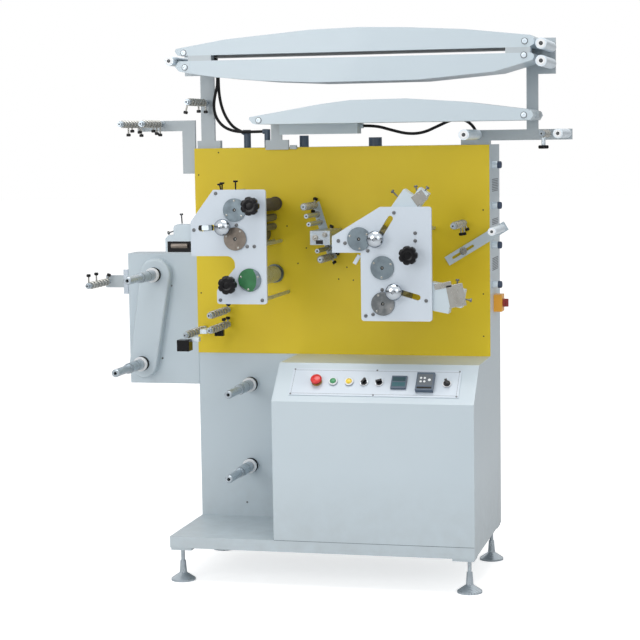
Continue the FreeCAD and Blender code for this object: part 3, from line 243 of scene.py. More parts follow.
finishes = {
    # slot, colour, cloud's colour, its scale and amount, roughness, dust
    "palePaint": paint("pale_paint", (0.755, 0.805, 0.835), (0.72, 0.775, 0.81), 1.6, 0.5, 0.34, 0.35,
                       bump=0.035, coat=0.15),
    "armPaint": paint("pale_paint", (0.71, 0.745, 0.765), (0.66, 0.70, 0.725), 5.0, 0.6, 0.36, 0.0,
                      bump=0.04, coat=0.1),
    "whitePaint": paint("white_paint", (0.785, 0.825, 0.865), (0.75, 0.795, 0.84), 4.0, 0.5, 0.30, 0.0,
                        bump=0.03, coat=0.2),
    "yellowPaint": paint("yellow_paint", (0.885, 0.782, 0.09), (0.855, 0.737, 0.02), 2.4, 0.8, 0.42, 0.0,
                         bump=0.05),
    "greenPaint": paint("green_plastic", (0.16, 0.45, 0.26), (0.10, 0.36, 0.20), 30.0, 0.7, 0.42, 0.0,
                        bump=0.03),
    # slot, colour, stain's colour and amount, roughness, streak
    "zincSteel": metal("zinc_steel", (0.71, 0.75, 0.78), (0.55, 0.59, 0.62), 0.4, 0.22, 0.12,
                       bump=0.03, metallic=0.62),
    "discSteel": metal("zinc_steel", (0.49, 0.54, 0.57), (0.38, 0.42, 0.45), 0.6, 0.34, 0.1, bump=0.02),
    "brownSteel": metal("zinc_steel", (0.50, 0.47, 0.44), (0.40, 0.37, 0.34), 0.6, 0.36, 0.1, bump=0.02),
    "darkSteel": metal("zinc_steel", (0.46, 0.47, 0.48), (0.38, 0.38, 0.38), 0.3, 0.34, 0.2,
                       bump=0.04, metallic=0.7),
    "darkDisc": metal("zinc_steel", (0.42, 0.44, 0.45), (0.62, 0.62, 0.62), 0.6, 0.32, 0.1, bump=0.02),
    "boltSteel": metal("zinc_steel", (0.46, 0.47, 0.48), (0.30, 0.30, 0.30), 0.5, 0.30, 0.1, bump=0.02),
    "collarSteel": metal("zinc_steel", (0.72, 0.72, 0.70), (0.52, 0.50, 0.47), 0.4, 0.16, 0.15,
                         bump=0.02, metallic=0.7),
    "brass": metal("zinc_steel", (0.72, 0.55, 0.30), (0.52, 0.36, 0.20), 0.5, 0.30, 0.1, bump=0.02),
    "rollerMetal": metal("roller_metal", (0.89, 0.93, 0.96), (0.80, 0.85, 0.89), 0.4, 0.40, 0.1,
                         bump=0.02, metallic=0.6),
    # the rim colour is painted shade and reflection, mixed in where the chrome turns away from the eye
    "brightChrome": metal("bright_chrome", (0.80, 0.83, 0.86), (0.70, 0.74, 0.78), 0.2, 0.07, 0.03,
                          rim=(0.22, 0.26, 0.32)),
    # slot, colour, roughness, scuff
    "blackPlastic": plastic("black_plastic", (0.03, 0.03, 0.045), 0.20, 0.03, bump=0.02, shine=0.28),
    # dark rings and marks, and also painted shade at the bottom of bores and recesses
    "blackMarkAndShade": plastic("black_plastic", (0.10, 0.10, 0.10), 0.45, 0.2, bump=0.02, shine=0.2),
    # painted shade: the front panel's yellow, darkened as in the depth of its holes
    "paintedHoleShade": plastic("black_plastic", (0.22, 0.17, 0.05), 0.7, 0.1),
    "greyPlastic": plastic("grey_plastic", (0.34, 0.37, 0.40), 0.42, 0.2, bump=0.05),
    "bluePlastic": plastic("grey_plastic", (0.28, 0.34, 0.41), 0.35, 0.10, bump=0.03),
    "darkBlue": plastic("grey_plastic", (0.20, 0.26, 0.36), 0.35, 0.15, bump=0.02),
    "screenTeal": plastic("grey_plastic", (0.20, 0.37, 0.40), 0.30, 0.05, shine=0.2),
    "screenDark": plastic("grey_plastic", (0.17, 0.28, 0.31), 0.30, 0.05, shine=0.2),
    "seamDark": plastic("grey_plastic", (0.42, 0.46, 0.49), 0.7, 0.1, shine=0.2),
    "whitePlastic": plastic("white_paint", (0.90, 0.91, 0.92), 0.30, 0.15, bump=0.02),
    "cableSheath": plastic("cable_black", (0.04, 0.04, 0.05), 0.36, 0.08, bump=0.05, shine=0.25),
    "darkRubber": plastic("dark_rubber", (0.24, 0.22, 0.21), 0.55, 0.3, bump=0.12),
    "redPlastic": plastic("red_plastic", (0.84, 0.10, 0.09), 0.22, 0.15, bump=0.01, coat=0.4),
    "switchRed": plastic("red_plastic", (0.58, 0.15, 0.14), 0.25, 0.15, bump=0.01, coat=0.3),
    "greenPlastic": plastic("green_plastic", (0.15, 0.55, 0.33), 0.25, 0.15, bump=0.01, coat=0.3),
    "amberPlastic": plastic("amber_plastic", (0.92, 0.80, 0.22), 0.25, 0.15, bump=0.01, coat=0.3),
    "orangePlastic": plastic("orange_plastic", (0.96, 0.68, 0.16), 0.30, 0.2, bump=0.02, coat=0.2),
}
shaderDefaults = {"bumpDistance": 1.0 * mm, "rimShadeBlend": 0.45, "shine": 0.5, "coat": 0.0, "metallic": 1.0}


def makeMaterial(name, kind, values, look):
    # colour and roughness straight from the group, its height through a bump of the look's strength
    material = bpy.data.materials.new(name)
    material.use_nodes = True
    tree = material.node_tree
    shader = tree.nodes["Principled BSDF"]
    group = tree.nodes.new("ShaderNodeGroup")
    group.node_tree = groups[kind]
    for label, value in values.items():
        group.inputs[label].default_value = value
    tree.links.new(group.outputs["Colour"], shader.inputs["Base Color"])
    tree.links.new(group.outputs["Roughness"], shader.inputs["Roughness"])
    look = {**shaderDefaults, **look}
    if "bump" in look:
        bump = tree.nodes.new("ShaderNodeBump")
        bump.inputs["Strength"].default_value = look["bump"]
        bump.inputs["Distance"].default_value = look["bumpDistance"]
        tree.links.new(group.outputs["Height"], bump.inputs["Height"])
        tree.links.new(bump.outputs[0], shader.inputs["Normal"])
    if "rim" in look:
        # painted shade and reflection: a darker colour where the surface turns away from the eye
        facing = tree.nodes.new("ShaderNodeLayerWeight")
        facing.inputs["Blend"].default_value = look["rimShadeBlend"]
        shade = mixColour(tree, facing.outputs["Facing"], group.outputs["Colour"], screen(*look["rim"]))
        tree.links.new(shade, shader.inputs["Base Color"])
    shader.inputs["Specular IOR Level"].default_value = look["shine"]
    shader.inputs["Metallic"].default_value = look["metallic"] if kind == "metal" else 0.0
    shader.inputs["Coat Weight"].default_value = look["coat"]
    return material


materials = {name: makeMaterial(name, *recipe[1:]) for name, recipe in finishes.items()}
print("materials made:", len(materials))

nodeFinish = {
    "palePaint": ("base_tray", "column_cabinet", "console_cabinet", "unwind_housing", "belt_cover",
                  "upper_dryer", "middle_dryer", "lower_dryer", "lamp_box", "left_ink_box",
                  "right_ink_boxes", "idler_bar", "slotted_arm"),
    "armPaint": ("dryer_blocks", "left_post", "right_post", "guide_arms"),
    "whitePaint": ("left_unit_plate", "right_unit_plate", "control_plate"),
    "yellowPaint": ("front_panel",),
    "darkSteel": ("unit_rollers",),
    "zincSteel": ("levelling_feet", "tie_rods", "lower_roller", "upper_unwind_spindle",
                  "lower_unwind_spindle", "upper_rewind_spindle", "lower_rewind_spindle",
                  "web_guides", "idler_rods"),
    "discSteel": ("bearing_covers",),
    "rollerMetal": ("left_top_roller", "right_high_roller", "right_low_roller", "bar_left_roller",
                    "bar_right_roller", "arm_roller"),
    "brightChrome": ("chrome_caps", "switch_bezels"),
    "blackPlastic": ("left_upper_knob", "left_lower_knob", "right_knob", "selector_one",
                     "selector_two", "speed_dial", "left_ink_tray"),
    "bluePlastic": ("panel_instruments", "roof_glands"),
    "darkRubber": ("rubber_roller",),
    "redPlastic": ("emergency_stop", "main_switch_handle"),
    "greenPlastic": ("green_button",),
    "amberPlastic": ("yellow_button",),
    "orangePlastic": ("main_switch_box",),
    "greyPlastic": ("side_fittings",),
    "cableSheath": ("front_dryer_cable", "rear_dryer_cable", "lamp_cable"),
}


def dressNodes():
    # each node of the frame gets one finish, on every slot that it has
    for finish, names in nodeFinish.items():
        for name in names:
            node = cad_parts[name]
            if not node.material_slots:
                node.data.materials.append(materials[finish])
            for holder in node.material_slots:
                holder.material = materials[finish]


dressNodes()
print("nodes dressed")


# shapes: each is its points in metres and its faces, made about z from sizes in millimetres
def unit(vector):
    # the vector over its own length
    vector = np.asarray(vector, float)
    return vector / np.linalg.norm(vector)


def acrossAxes(axis):
    # two directions square on an axis and on each other: helper x axis, then axis x first
    axis = unit(axis)
    helper = np.array((0.0, 0.0, 1.0)) if abs(axis[2]) < 0.9 else np.array((1.0, 0.0, 0.0))
    first = unit(np.cross(helper, axis))
    return first, np.cross(axis, first)


def gridFaces(rows, columns, closed=False):
    # quads between the neighbours of a grid that closes along its columns, and along its rows if closed
    row, column = np.meshgrid(np.arange(rows if closed else rows - 1), np.arange(columns), indexing="ij")
    after, above = (column + 1) % columns, (row + 1) % rows
    return np.stack((row * columns + column, row * columns + after,
                     above * columns + after, above * columns + column), -1).reshape(-1, 4)


def turned(profile, sides, lobes=0, depth=0.0):
    # a profile (radius, height) from pole to pole, turned about z; each radius swells with the angle a as
    # 1 - depth (1 - cos n a) / 2
    profile = np.asarray(profile, float) * mm
    angle = np.arange(sides) * 2 * math.pi / sides
    swell = 1 - depth * (1 - np.cos(lobes * angle)) / 2
    inner = profile[1:-1]
    points = np.stack((inner[:, :1] * np.cos(angle) * swell, inner[:, :1] * np.sin(angle) * swell,
                       np.repeat(inner[:, 1:], sides, 1)), -1).reshape(-1, 3)
    tail = len(points)
    points = np.vstack((points, (0, 0, profile[0][1]), (0, 0, profile[-1][1])))
    turn = np.arange(sides)
    after = (turn + 1) % sides
    last = (len(inner) - 1) * sides
    triangles = np.vstack((np.stack((after, turn, np.full(sides, tail)), -1),
                           np.stack((last + turn, last + after, np.full(sides, tail + 1)), -1)))
    return points, [gridFaces(len(inner), sides), triangles]


def hoop(profile, sides, lobes=0, depth=0.0):
    # a closed loop (radius, height) turned about z; only the outer points swell, by the same formula
    profile = np.asarray(profile, float) * mm
    angle = np.arange(sides) * 2 * math.pi / sides
    outer = (profile[:, :1] > profile[:, 0].mean()).astype(float)
    reach = profile[:, :1] * (1 - outer * depth * (1 - np.cos(lobes * angle)) / 2)
    points = np.stack((reach * np.cos(angle), reach * np.sin(angle),
                       np.repeat(profile[:, 1:], sides, 1)), -1).reshape(-1, 3)
    return points, [gridFaces(len(profile), sides, closed=True)]


def ring(bore, radius, low, high, sides):
    # a plain ring: the rectangle from the bore to the rim, turned about z
    return hoop([(bore, low), (radius, low), (radius, high), (bore, high)], sides)


def collar(bore, radius, width, edge, sides, lobes=0, depth=0.0):
    # a ring from 0 up, its two outer rims cut at 45 degrees
    return hoop([(bore, 0), (radius - edge, 0), (radius, edge), (radius, width - edge),
                 (radius - edge, width), (bore, width)], sides, lobes, depth)


def peg(radius, low, high, sides):
    # a plain round bar: the rectangle from the axis to the rim, turned about z
    return turned([(0, low), (radius, low), (radius, high), (0, high)], sides)


def barrel(radius, low, high, edge, sides, lobes=0, depth=0.0):
    # a round bar, its two rims cut at 45 degrees
    return turned([(0, low), (radius - edge, low), (radius, low + edge), (radius, high - edge),
                   (radius - edge, high), (0, high)], sides, lobes, depth)


def stub(radius, height, sides, edge=1.0):
    # a round bar from 0 up, its upper rim cut at 45 degrees
    return turned([(0, 0), (radius, 0), (radius, height - edge), (radius - edge, height),
                   (0, height)], sides)


screwHead = {"edge": 0.2, "slope": 0.3, "sunk": 0.2}  # rim's share of the radius, slope's share of the rim


def screw(radius, rise, socket, depth, sides=28):
    # a round head from its seat up, over a rim with two slopes and down to the floor of its hole
    sunk, edge = screwHead["sunk"], screwHead["edge"] * radius
    slope = screwHead["slope"] * edge
    return turned([(0, -sunk), (radius, -sunk), (radius, rise - edge), (radius - slope, rise - slope),
                   (radius - edge, rise), (socket, rise), (socket, rise - depth),
                   (0, rise - depth)], sides)


def dot(radius, rise, sides=20, sunk=0.3):
    # a low disc: painted shade in a hole, or a key or a tip
    return peg(radius, -sunk, rise, sides)


def block(size, middle=(0, 0, 0)):
    # a box: its eight corners are the middle plus and minus half of each side
    corner = np.array([(x, y, z) for z in (-1, 1) for y in (-1, 1) for x in (-1, 1)], float)
    points = corner * (np.asarray(size) * mm) / 2 + np.asarray(middle) * mm
    quads = np.array(((0, 2, 3, 1), (4, 5, 7, 6), (0, 1, 5, 4), (2, 6, 7, 3), (0, 4, 6, 2), (1, 3, 7, 5)))
    return points, [quads]


def arc(start, end, steps):
    # points (cos a, sin a) from one angle to another, in degrees
    angle = np.radians(np.linspace(start, end, steps))
    return np.column_stack((np.cos(angle), np.sin(angle)))


def slab(outline, thickness):
    # a closed outline in x and y, carried up z by the thickness
    outline = np.asarray(outline, float) * mm
    count = len(outline)
    points = np.vstack((np.column_stack((outline, np.zeros(count))),
                        np.column_stack((outline, np.full(count, thickness * mm)))))
    return points, [gridFaces(2, count), [list(range(count))[::-1], list(range(count, 2 * count))]]


def lifted(shape, height):
    # a shape moved up its own z
    points, faces = shape
    return points + np.array((0, 0, height)) * mm, faces


def turnedFlat(shape, degrees, axis="Z"):
    # a shape turned about one of its own axes
    points, faces = shape
    return points @ np.array(Matrix.Rotation(math.radians(degrees), 3, axis)).T, faces


def aimed(shape, place, axis):
    # a shape moved so that its z points along the axis and its origin is at the place
    points, faces = shape
    turn = np.stack((*acrossAxes(axis), unit(axis)))
    return points @ turn + np.asarray(place), faces


def toFront(shape, x, y, z):
    # a shape set on the machine with its z to the front
    return aimed(shape, spot(x, y, z), (0, -1, 0))


def toRight(shape, x, y, z):
    # a shape set on the machine with its z to the right
    return aimed(shape, spot(x, y, z), (1, 0, 0))


def joined(shapes):
    # many shapes as one: the points stacked, the face numbers moved on by the points before them
    points, faces, count = [], [], 0
    for shapePoints, shapeFaces in shapes:
        points.append(shapePoints)
        for part in shapeFaces:
            faces += (np.asarray(part) + count).tolist()
        count += len(shapePoints)
    return np.vstack(points), faces


edgeStyle = {"segments": 3, "angle": 40}


def finishPiece(name, shapes, finish, body="press", bevel=0.0, angle=35, replaces=()):
    # one mesh of all the shapes, smooth where its faces meet under the angle, bevelled in millimetres
    points, faces = joined(shapes)
    mesh = bpy.data.meshes.new(name)
    mesh.from_pydata(points.tolist(), [], faces)
    mesh.update()
    mesh.materials.append(materials[finish])
    for polygon in mesh.polygons:
        polygon.use_smooth = True
    mesh.set_sharp_from_angle(angle=math.radians(angle))
    piece = bpy.data.objects.new(name, mesh)
    scene.collection.objects.link(piece)
    if bevel:
        edge = piece.modifiers.new("edge", "BEVEL")
        edge.width = bevel * mm
        edge.segments = edgeStyle["segments"]
        edge.limit_method = "ANGLE"
        edge.angle_limit = math.radians(edgeStyle["angle"])
    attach(piece, body)
    if replaces:
        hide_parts(*replaces)


cables = {
    "radius": 5.5 * mm, "steps": 12, "roundness": 5,
    # name: the node, and the route from the dryer or the lamp box to the gland
    "routes": {
        "frontDryerCable": ("front_dryer_cable",
                            ((99, 372, 1806), (99, 372, 1778), (88, 374, 1744), (81, 377, 1708),
                             (83, 381, 1674), (97, 387, 1643), (123, 394, 1619), (164, 399, 1607),
                             (212, 402, 1606), (259.4, 402, 1607))),
        "rearDryerCable": ("rear_dryer_cable",
                           ((97, 390, 1806), (97, 390, 1776), (98, 395, 1742), (102, 401, 1708),
                            (111, 408, 1675), (126, 415, 1645), (148, 421, 1619), (174.4, 425, 1607))),
        "lampCable": ("lamp_cable",
                      ((646, 370, 1621.5), (692, 370, 1621.5), (746, 382, 1605), (802, 400, 1590),
                       (856, 416, 1593), (908, 430, 1617), (958, 440, 1640), (996, 445, 1641),
                       (1028, 447, 1622), (1047, 448, 1590), (1047, 448, 1556))),
    },
}


def splineLength(curve):
    # the length of the curve's own line, read from it without its thickness: the sum of its steps
    thickness, curve.bevel_depth = curve.bevel_depth, 0.0
    holder = bpy.data.objects.new("measure", curve)
    mesh = bpy.data.meshes.new_from_object(holder)
    line = np.empty(len(mesh.vertices) * 3)
    mesh.vertices.foreach_get("co", line)
    bpy.data.objects.remove(holder)
    bpy.data.meshes.remove(mesh)
    curve.bevel_depth = thickness
    return float(np.linalg.norm(np.diff(line.reshape(-1, 3), axis=0), axis=1).sum())


def makeCables():
    # a smooth line of degree 2 pulled by its points, with a circle of the cable's radius round it
    for name, (node, route) in cables["routes"].items():
        curve = bpy.data.curves.new(name, "CURVE")
        curve.dimensions = "3D"
        curve.resolution_u = cables["steps"]
        curve.bevel_depth = 1.0
        curve.bevel_resolution = cables["roundness"]
        curve.use_fill_caps = True
        line = curve.splines.new("NURBS")
        line.points.add(len(route) - 1)
        for point, place in zip(line.points, route):
            point.co = (*spot(*place), 1.0)
            point.radius = cables["radius"]
        line.order_u = 3
        line.use_endpoint_u = True
        curve.materials.append(materials["cableSheath"])
        piece = bpy.data.objects.new(name, curve)
        scene.collection.objects.link(piece)
        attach(piece, "press")
        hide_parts(node)
        splineLength(curve)


makeCables()
print("cables laid")


bolts = {
    # a screw is its radius, rise, socket's radius and depth, the painted shade in a bore its radius and
    # rise, and a washer its bore, radius, width and edge
    "plateFace": 25.0, "plateScrew": (6.4, 2.6, 3.2, 1.8), "coverScrew": (3.8, 1.5, 1.8, 1.0),
    "leftPlate": ((189.6, 1392.5), (106.8, 1264.7), (263, 1281.1), (300.9, 1206.4), (326.6, 1206.4),
                  (199.2, 1017.7), (351.9, 1018.1)),
    "rightPlate": ((628, 1225.7), (651.6, 1218.1), (731.6, 1191.7), (824.7, 1322.1), (897.8, 1252.2),
                   (897.6, 1226.1), (780.5, 1057.2), (933.8, 1020.3), (722.1, 966.8), (747.4, 972)),
    "covers": ((-101.5, 388.0, 1038), (-143.4, 388.0, 763.5), (177.1, 390.0, 223.9)),
    # x and z of each disc, and the angles of its screws on their circle
    "discs": ((257, 1334, (90, 212, 322)), (258, 1233, (54, 162, 291)), (701, 1232, (160, 30, 275)),
              (782, 1133, (150, 23, 267)), (783, 1009, (118, 230, 330)), (308, 1089, (20, 160, 262))),
    "discFace": 20.0, "discCircle": 33.0,
    "boreFace": 23.95, "bore": (5.9, 0.1), "boreSpot": (2.4, 1.4),
    "beamFace": 125.0, "beamScrew": (9.0, 4.5, 3.6, 2.5), "beamWasher": (8.0, 11.2, 1.2, 0.4),
    "beams": ((50, 1887), (1262, 1897), (53.8, 1836), (1259, 1850), (322, 1645), (1258, 1648)),
}


def makeBolts():
    # screws at their places, on each disc three at (R cos a, R sin a), and painted shade in its middle
    # bore
    k = bolts
    plateScrew = screw(*k["plateScrew"])
    coverScrew = screw(*k["coverScrew"], sides=20)
    places = k["leftPlate"] + k["rightPlate"]
    plates = [toFront(plateScrew, x, k["plateFace"], z) for x, z in places]
    finishPiece("plateBolts", plates + [toFront(coverScrew, *place) for place in k["covers"]], "boltSteel")
    screws, boreShades, spots = [], [], []
    for x, z, angles in k["discs"]:
        for angle in np.radians(angles):
            screws.append(toFront(coverScrew, x + k["discCircle"] * math.cos(angle), k["discFace"],
                                  z + k["discCircle"] * math.sin(angle)))
        boreShades.append(toFront(dot(*k["bore"]), x, k["boreFace"], z))
        spots.append(toFront(dot(*k["boreSpot"]), x, k["boreFace"], z))
    finishPiece("discScrews", screws + spots, "collarSteel")
    finishPiece("discBoreShades", boreShades, "blackMarkAndShade")
    for name, shape, finish in (("beamBolts", screw(*k["beamScrew"], sides=36), "rollerMetal"),
                                ("beamWashers", collar(*k["beamWasher"], sides=36), "boltSteel")):
        finishPiece(name, [toFront(shape, x, k["beamFace"], z) for x, z in k["beams"]], finish)


makeBolts()


coverDiscs = {
    "face": 20.0, "radius": 40.4, "bore": 6.3, "rise": 0.25,
    "tinted": {"brownDiscFace": (258, 1233, "brownSteel"), "mottledDiscFace": (783, 1009, "darkDisc")},
    # first angle, last angle and points of the half disc's arcs and of the bite that closes them
    "register": (308, 1089), "arcs": ((62, 205, 40), (262, 298, 12)), "bite": (-62, 62, 30),
    "biteWidth": 0.62,
}


def makeCoverDiscs():
    # thin tinted faces on three discs: two rings, and a half disc of arcs (R cos a, R sin a) with a flat
    # between them, closed by part of the ellipse (b R cos a, R sin a)
    k = coverDiscs
    for name, (x, z, finish) in k["tinted"].items():
        face = ring(k["bore"], k["radius"], 0, k["rise"], 64)
        finishPiece(name, [toFront(face, x, k["face"], z)], finish)
    x, z = k["register"]
    bite = arc(*k["bite"])[:-1] * (k["biteWidth"], 1)
    outline = np.vstack([arc(*part) for part in k["arcs"]] + [bite]) * k["radius"]
    finishPiece("registerDiscFace", [toFront(slab(outline, k["rise"]), x, k["face"], z)], "greenPaint")


makeCoverDiscs()


slotGaps = {
    # x, y, z, width, height, finish
    "parts": {"slotShade": (152.0, 24.6, 1272.5, 54.0, 18.0, "blackMarkAndShade"),
              "slotBlock": (149.0, 23.6, 1272.5, 25.0, 17.5, "rollerMetal")},
    "rise": 0.4, "bluntness": 1.3,
}


def makeSlotGaps():
    # a dark bar and the pale slide block before it: each an ellipse that is 1.3 times as large as the
    # bar's width and height and cut off at them
    k = slotGaps
    for name, (x, y, z, width, height, finish) in k["parts"].items():
        outline = np.clip(k["bluntness"] * arc(0, 345, 24), -1, 1) * (width, height) / 2
        finishPiece(name, [toFront(slab(outline, k["rise"]), x, y, z)], finish)


makeSlotGaps()


handKnobs = {
    "places": {"left_upper_knob": (328, 1349), "left_lower_knob": (241, 1075), "right_knob": (883, 1179)},
    "front": -40.0, "radius": 33.0, "depth": 25.0, "edge": 7.0, "backEdge": 4.2,
    "lobes": 7, "lobeDepth": 0.15, "lobeGain": 1.25, "lobePower": 0.8, "smoothRim": 4.0,
    "hub": 18.0, "hubFlare": 4.0, "back": 24.7, "dish": 13.0, "dishDepth": 4.0, "dishRise": 0.8,
    "lip": (2.5, 0.6),
}


def makeHandKnobs():
    # the radius waves in lobes: R (1 - d + g d |cos(n a / 2)| ^ p), cut off at R; the wave grows from
    # nothing at the dish to its whole at the rim
    k = handKnobs
    radius, depth, edge, backEdge = k["radius"], k["depth"], k["edge"], k["backEdge"]
    dish, (lip, lipDrop) = k["dish"], k["lip"]
    t = np.linspace(0, math.pi / 2, 6)
    rim = np.column_stack((radius - edge * (1 - np.cos(t)), depth - edge * (1 - np.sin(t))))
    back = np.column_stack((radius - backEdge * (1 - np.sin(t)), backEdge * (1 - np.cos(t))))
    points, faces = turned([(0, 0), (radius - backEdge, 0), *back[1:], *rim, (dish + lip, depth),
                            (dish, depth - lipDrop), (dish - 1, depth - k["dishDepth"]),
                            (0, depth - k["dishDepth"] + k["dishRise"])], 168)
    far = np.hypot(points[:, 0], points[:, 1]) / mm
    angle = np.arctan2(points[:, 1], points[:, 0])
    wave = np.abs(np.cos(k["lobes"] * angle / 2)) ** k["lobePower"]
    wave = np.minimum(1 - k["lobeDepth"] + k["lobeDepth"] * k["lobeGain"] * wave, 1.0)
    start = dish + k["smoothRim"]
    swell = 1 + (wave - 1) * np.clip((far - start) / (radius - start), 0, 1)
    head = points * np.column_stack((swell, swell, np.ones(len(points)))), faces
    hub, foot = k["hub"], k["front"] + depth - k["back"]
    neck = turned([(0, foot), (hub - 1, foot), (hub, foot + 1), (hub, -2), (hub + k["hubFlare"], 0.5),
                   (0, 0.5)], 40)
    for name, (x, z) in k["places"].items():
        finishPiece(name.replace("_", "") + "Head",
                    [toFront(shape, x, k["front"] + depth, z) for shape in (head, neck)], "blackPlastic",
                    body=name, replaces=(name,), angle=50)


makeHandKnobs()


domes = {"places": ((220, 1275), (764, 1233), (827, 1052)), "face": 24.9, "height": 51.0, "crownEnd": 1.36,
         "radius": 29.0, "skirt": 29.0, "lip": 5.0, "neck": 15.0, "flange": 21.0, "socket": 6.0,
         "socketDepth": 5.0}


def makeDomes():
    # a flange, a neck and a skirt; the crown is part of an ellipse: r = R cos t, h = s + (H - s) sin t
    d = domes
    start = d["skirt"] + d["lip"]
    t = np.linspace(0, d["crownEnd"], 14)
    crown = np.column_stack((d["radius"] * np.cos(t), start + (d["height"] - start) * np.sin(t)))
    top = crown[-1][1]
    shape = turned([(0, 0), (d["flange"], 0), (d["flange"], 4), (d["neck"], 5),
                    (d["neck"], d["skirt"] - 1), (d["radius"] - 2, d["skirt"]),
                    (d["radius"], d["skirt"] + 2), *crown, (d["socket"], top),
                    (d["socket"], top - d["socketDepth"]), (0, top - d["socketDepth"])], 64)
    finishPiece("chromeDomes", [toFront(shape, x, d["face"], z) for x, z in d["places"]], "brightChrome",
                replaces=("chrome_caps",), angle=40)


makeDomes()
print("unit fittings made")


guides = {
    # x, z, front and back of each rod
    "rods": ((-205, 1640, 145, 400), (-125, 1640, 145, 400), (50, 1715, 145, 400), (-354, 1052, 170, 400),
             (122, 951, 130, 385), (122, 897, 130, 385), (30, 879, 130, 385), (1010, 1270, 130, 385),
             (1311, 1584, 180, 400)),
    "firstRing": 38.0, "ringStep": 31.0, "lastRing": 34.0, "rodBore": 7.05, "rodRing": 14.0,
    "width": 13.0, "edge": 2.4, "lobes": 24, "lobeDepth": 0.05,
    # x, z, first and last place, step and radius of the collars on each idler rod
    "idlers": ((462.6, 1336.8, 196, 366, 19.0, 13.5), (472.8, 1303.8, 344, 360, 40.0, 12.0),
               (481.8, 1275.0, 344, 360, 40.0, 12.0), (511.2, 1180.2, 344, 360, 40.0, 12.0),
               (520.8, 1149.3, 200, 366, 21.0, 13.5)),
    "idlerBore": 8.05, "idlerFront": 190.0, "tip": (3.2, 0.3),
}


def makeGuideRings():
    # set collars strung along each rod, one every step of its length, and a dark mark on the rod's tip
    k = guides
    rings, tips = [], []

    def threadOn(x, z, places, bore, radius):
        # one knurled collar at each place
        shape = collar(bore, radius, k["width"], k["edge"], 48, k["lobes"], k["lobeDepth"])
        rings.extend(toFront(shape, x, y + k["width"], z) for y in places)

    for x, z, front, back in k["rods"]:
        places = np.arange(front + k["firstRing"], back - k["lastRing"], k["ringStep"])
        threadOn(x, z, places, k["rodBore"], k["rodRing"])
        tips.append(toFront(dot(*k["tip"]), x, front, z))
    for x, z, first, last, step, radius in k["idlers"]:
        threadOn(x, z, np.arange(first, last, step), k["idlerBore"], radius)
        tips.append(toFront(dot(*k["tip"]), x, k["idlerFront"], z))
    finishPiece("guideCollars", rings, "collarSteel")
    finishPiece("guideTips", tips, "blackMarkAndShade")


makeGuideRings()


thumbs = {
    "shank": 3.0, "shankFinish": "collarSteel", "head": 8.0, "length": 10.5, "edge": 1.8, "lobes": 12,
    "lobeDepth": 0.10, "start": 6.0,
    # x, y and z on the rod's axis, lean to the right, rise, and how far off the head's middle is
    "places": ((-205, 243, 1640, 0.0, -1, 39), (-205, 281, 1640, 0.05, -1, 25),
               (-205, 357, 1640, 0.10, -1, 29), (-205, 385, 1640, 0.0, -1, 41),
               (-125, 291, 1640, 0.0, -1, 26), (-125, 328, 1640, 0.0, -1, 35),
               (-125, 372, 1640, -0.05, -1, 40),
               (50, 165, 1715, -0.25, -1, 38), (50, 291, 1715, 0.0, -1, 32), (50, 376, 1715, 0.0, -1, 33),
               (-354, 188, 1052, 0.0, 1, 38), (-354, 268, 1052, 0.0, 1, 38), (-354, 380, 1052, 0.3, 1, 27),
               (122, 340, 951, 0.5, 1, 25), (122, 330, 897, -0.2, 1, 22), (122, 362, 897, 0.1, 1, 24),
               (1010, 303, 1270, 0.0, -1, 37), (1010, 352, 1270, 0.1, -1, 38),
               (1010, 372, 1270, 0.5, -1, 26),
               (462.6, 369, 1336.8, 0.0, 1, 23), (462.6, 345, 1336.8, 0.35, 1, 25),
               (462.6, 333, 1336.8, 0.0, -1, 21), (520.8, 352, 1149.3, 0.7, -1, 25),
               (520.8, 366, 1149.3, 1.0, 0.5, 27), (546, 250, 1252, 0.4, 1, 14)),
}
bigThumb = {
    "shank": 7.0, "shankFinish": "rollerMetal", "head": 18.0, "length": 12.0, "edge": 2.5, "lobes": 24,
    "lobeDepth": 0.05, "start": 6.0, "places": ((1311, 240, 1584, 0, -1, 46),),
}


def makeThumbScrews(headName, shankName, k):
    # a shank from the rod's face up to the head, and a head whose rim waves like a knurl
    heads, shanks = [], []
    for x, y, z, lean, rise, reach in k["places"]:
        head = barrel(k["head"], reach - k["length"] / 2, reach + k["length"] / 2, k["edge"], 48,
                      k["lobes"], k["lobeDepth"])
        heads.append(aimed(head, spot(x, y, z), (lean, 0, rise)))
        shanks.append(aimed(peg(k["shank"], k["start"], reach, 20), spot(x, y, z), (lean, 0, rise)))
    finishPiece(headName, heads, "blackPlastic")
    finishPiece(shankName, shanks, k["shankFinish"])


makeThumbScrews("thumbHeads", "thumbShanks", thumbs)
makeThumbScrews("bigThumbHead", "bigThumbShank", bigThumb)


inkScrews = {
    "shank": 2.6, "foot": -4.0, "length": 6.5, "edge": 1.0,
    "steelInkScrews": {"y": 62.0, "head": 6.6, "finish": "boltSteel",
                       # x and z of the head, then of the foot
                       "places": ((50, 1318.6, 51.6, 1290), (0.7, 1252.8, 21, 1259.5),
                                  (813, 1394, 828.6, 1378), (894.6, 1410.7, 898.6, 1391),
                                  (935.3, 1406.2, 923, 1391), (1036.7, 1089.3, 1034.8, 1062),
                                  (1082, 1020, 1058, 1024))},
    "blackInkScrews": {"y": 30.0, "head": 8.5, "finish": "blackPlastic",
                       "places": ((212, 1428, 212, 1404), (203, 1424, 207, 1404), (261, 1434, 261, 1404))},
}


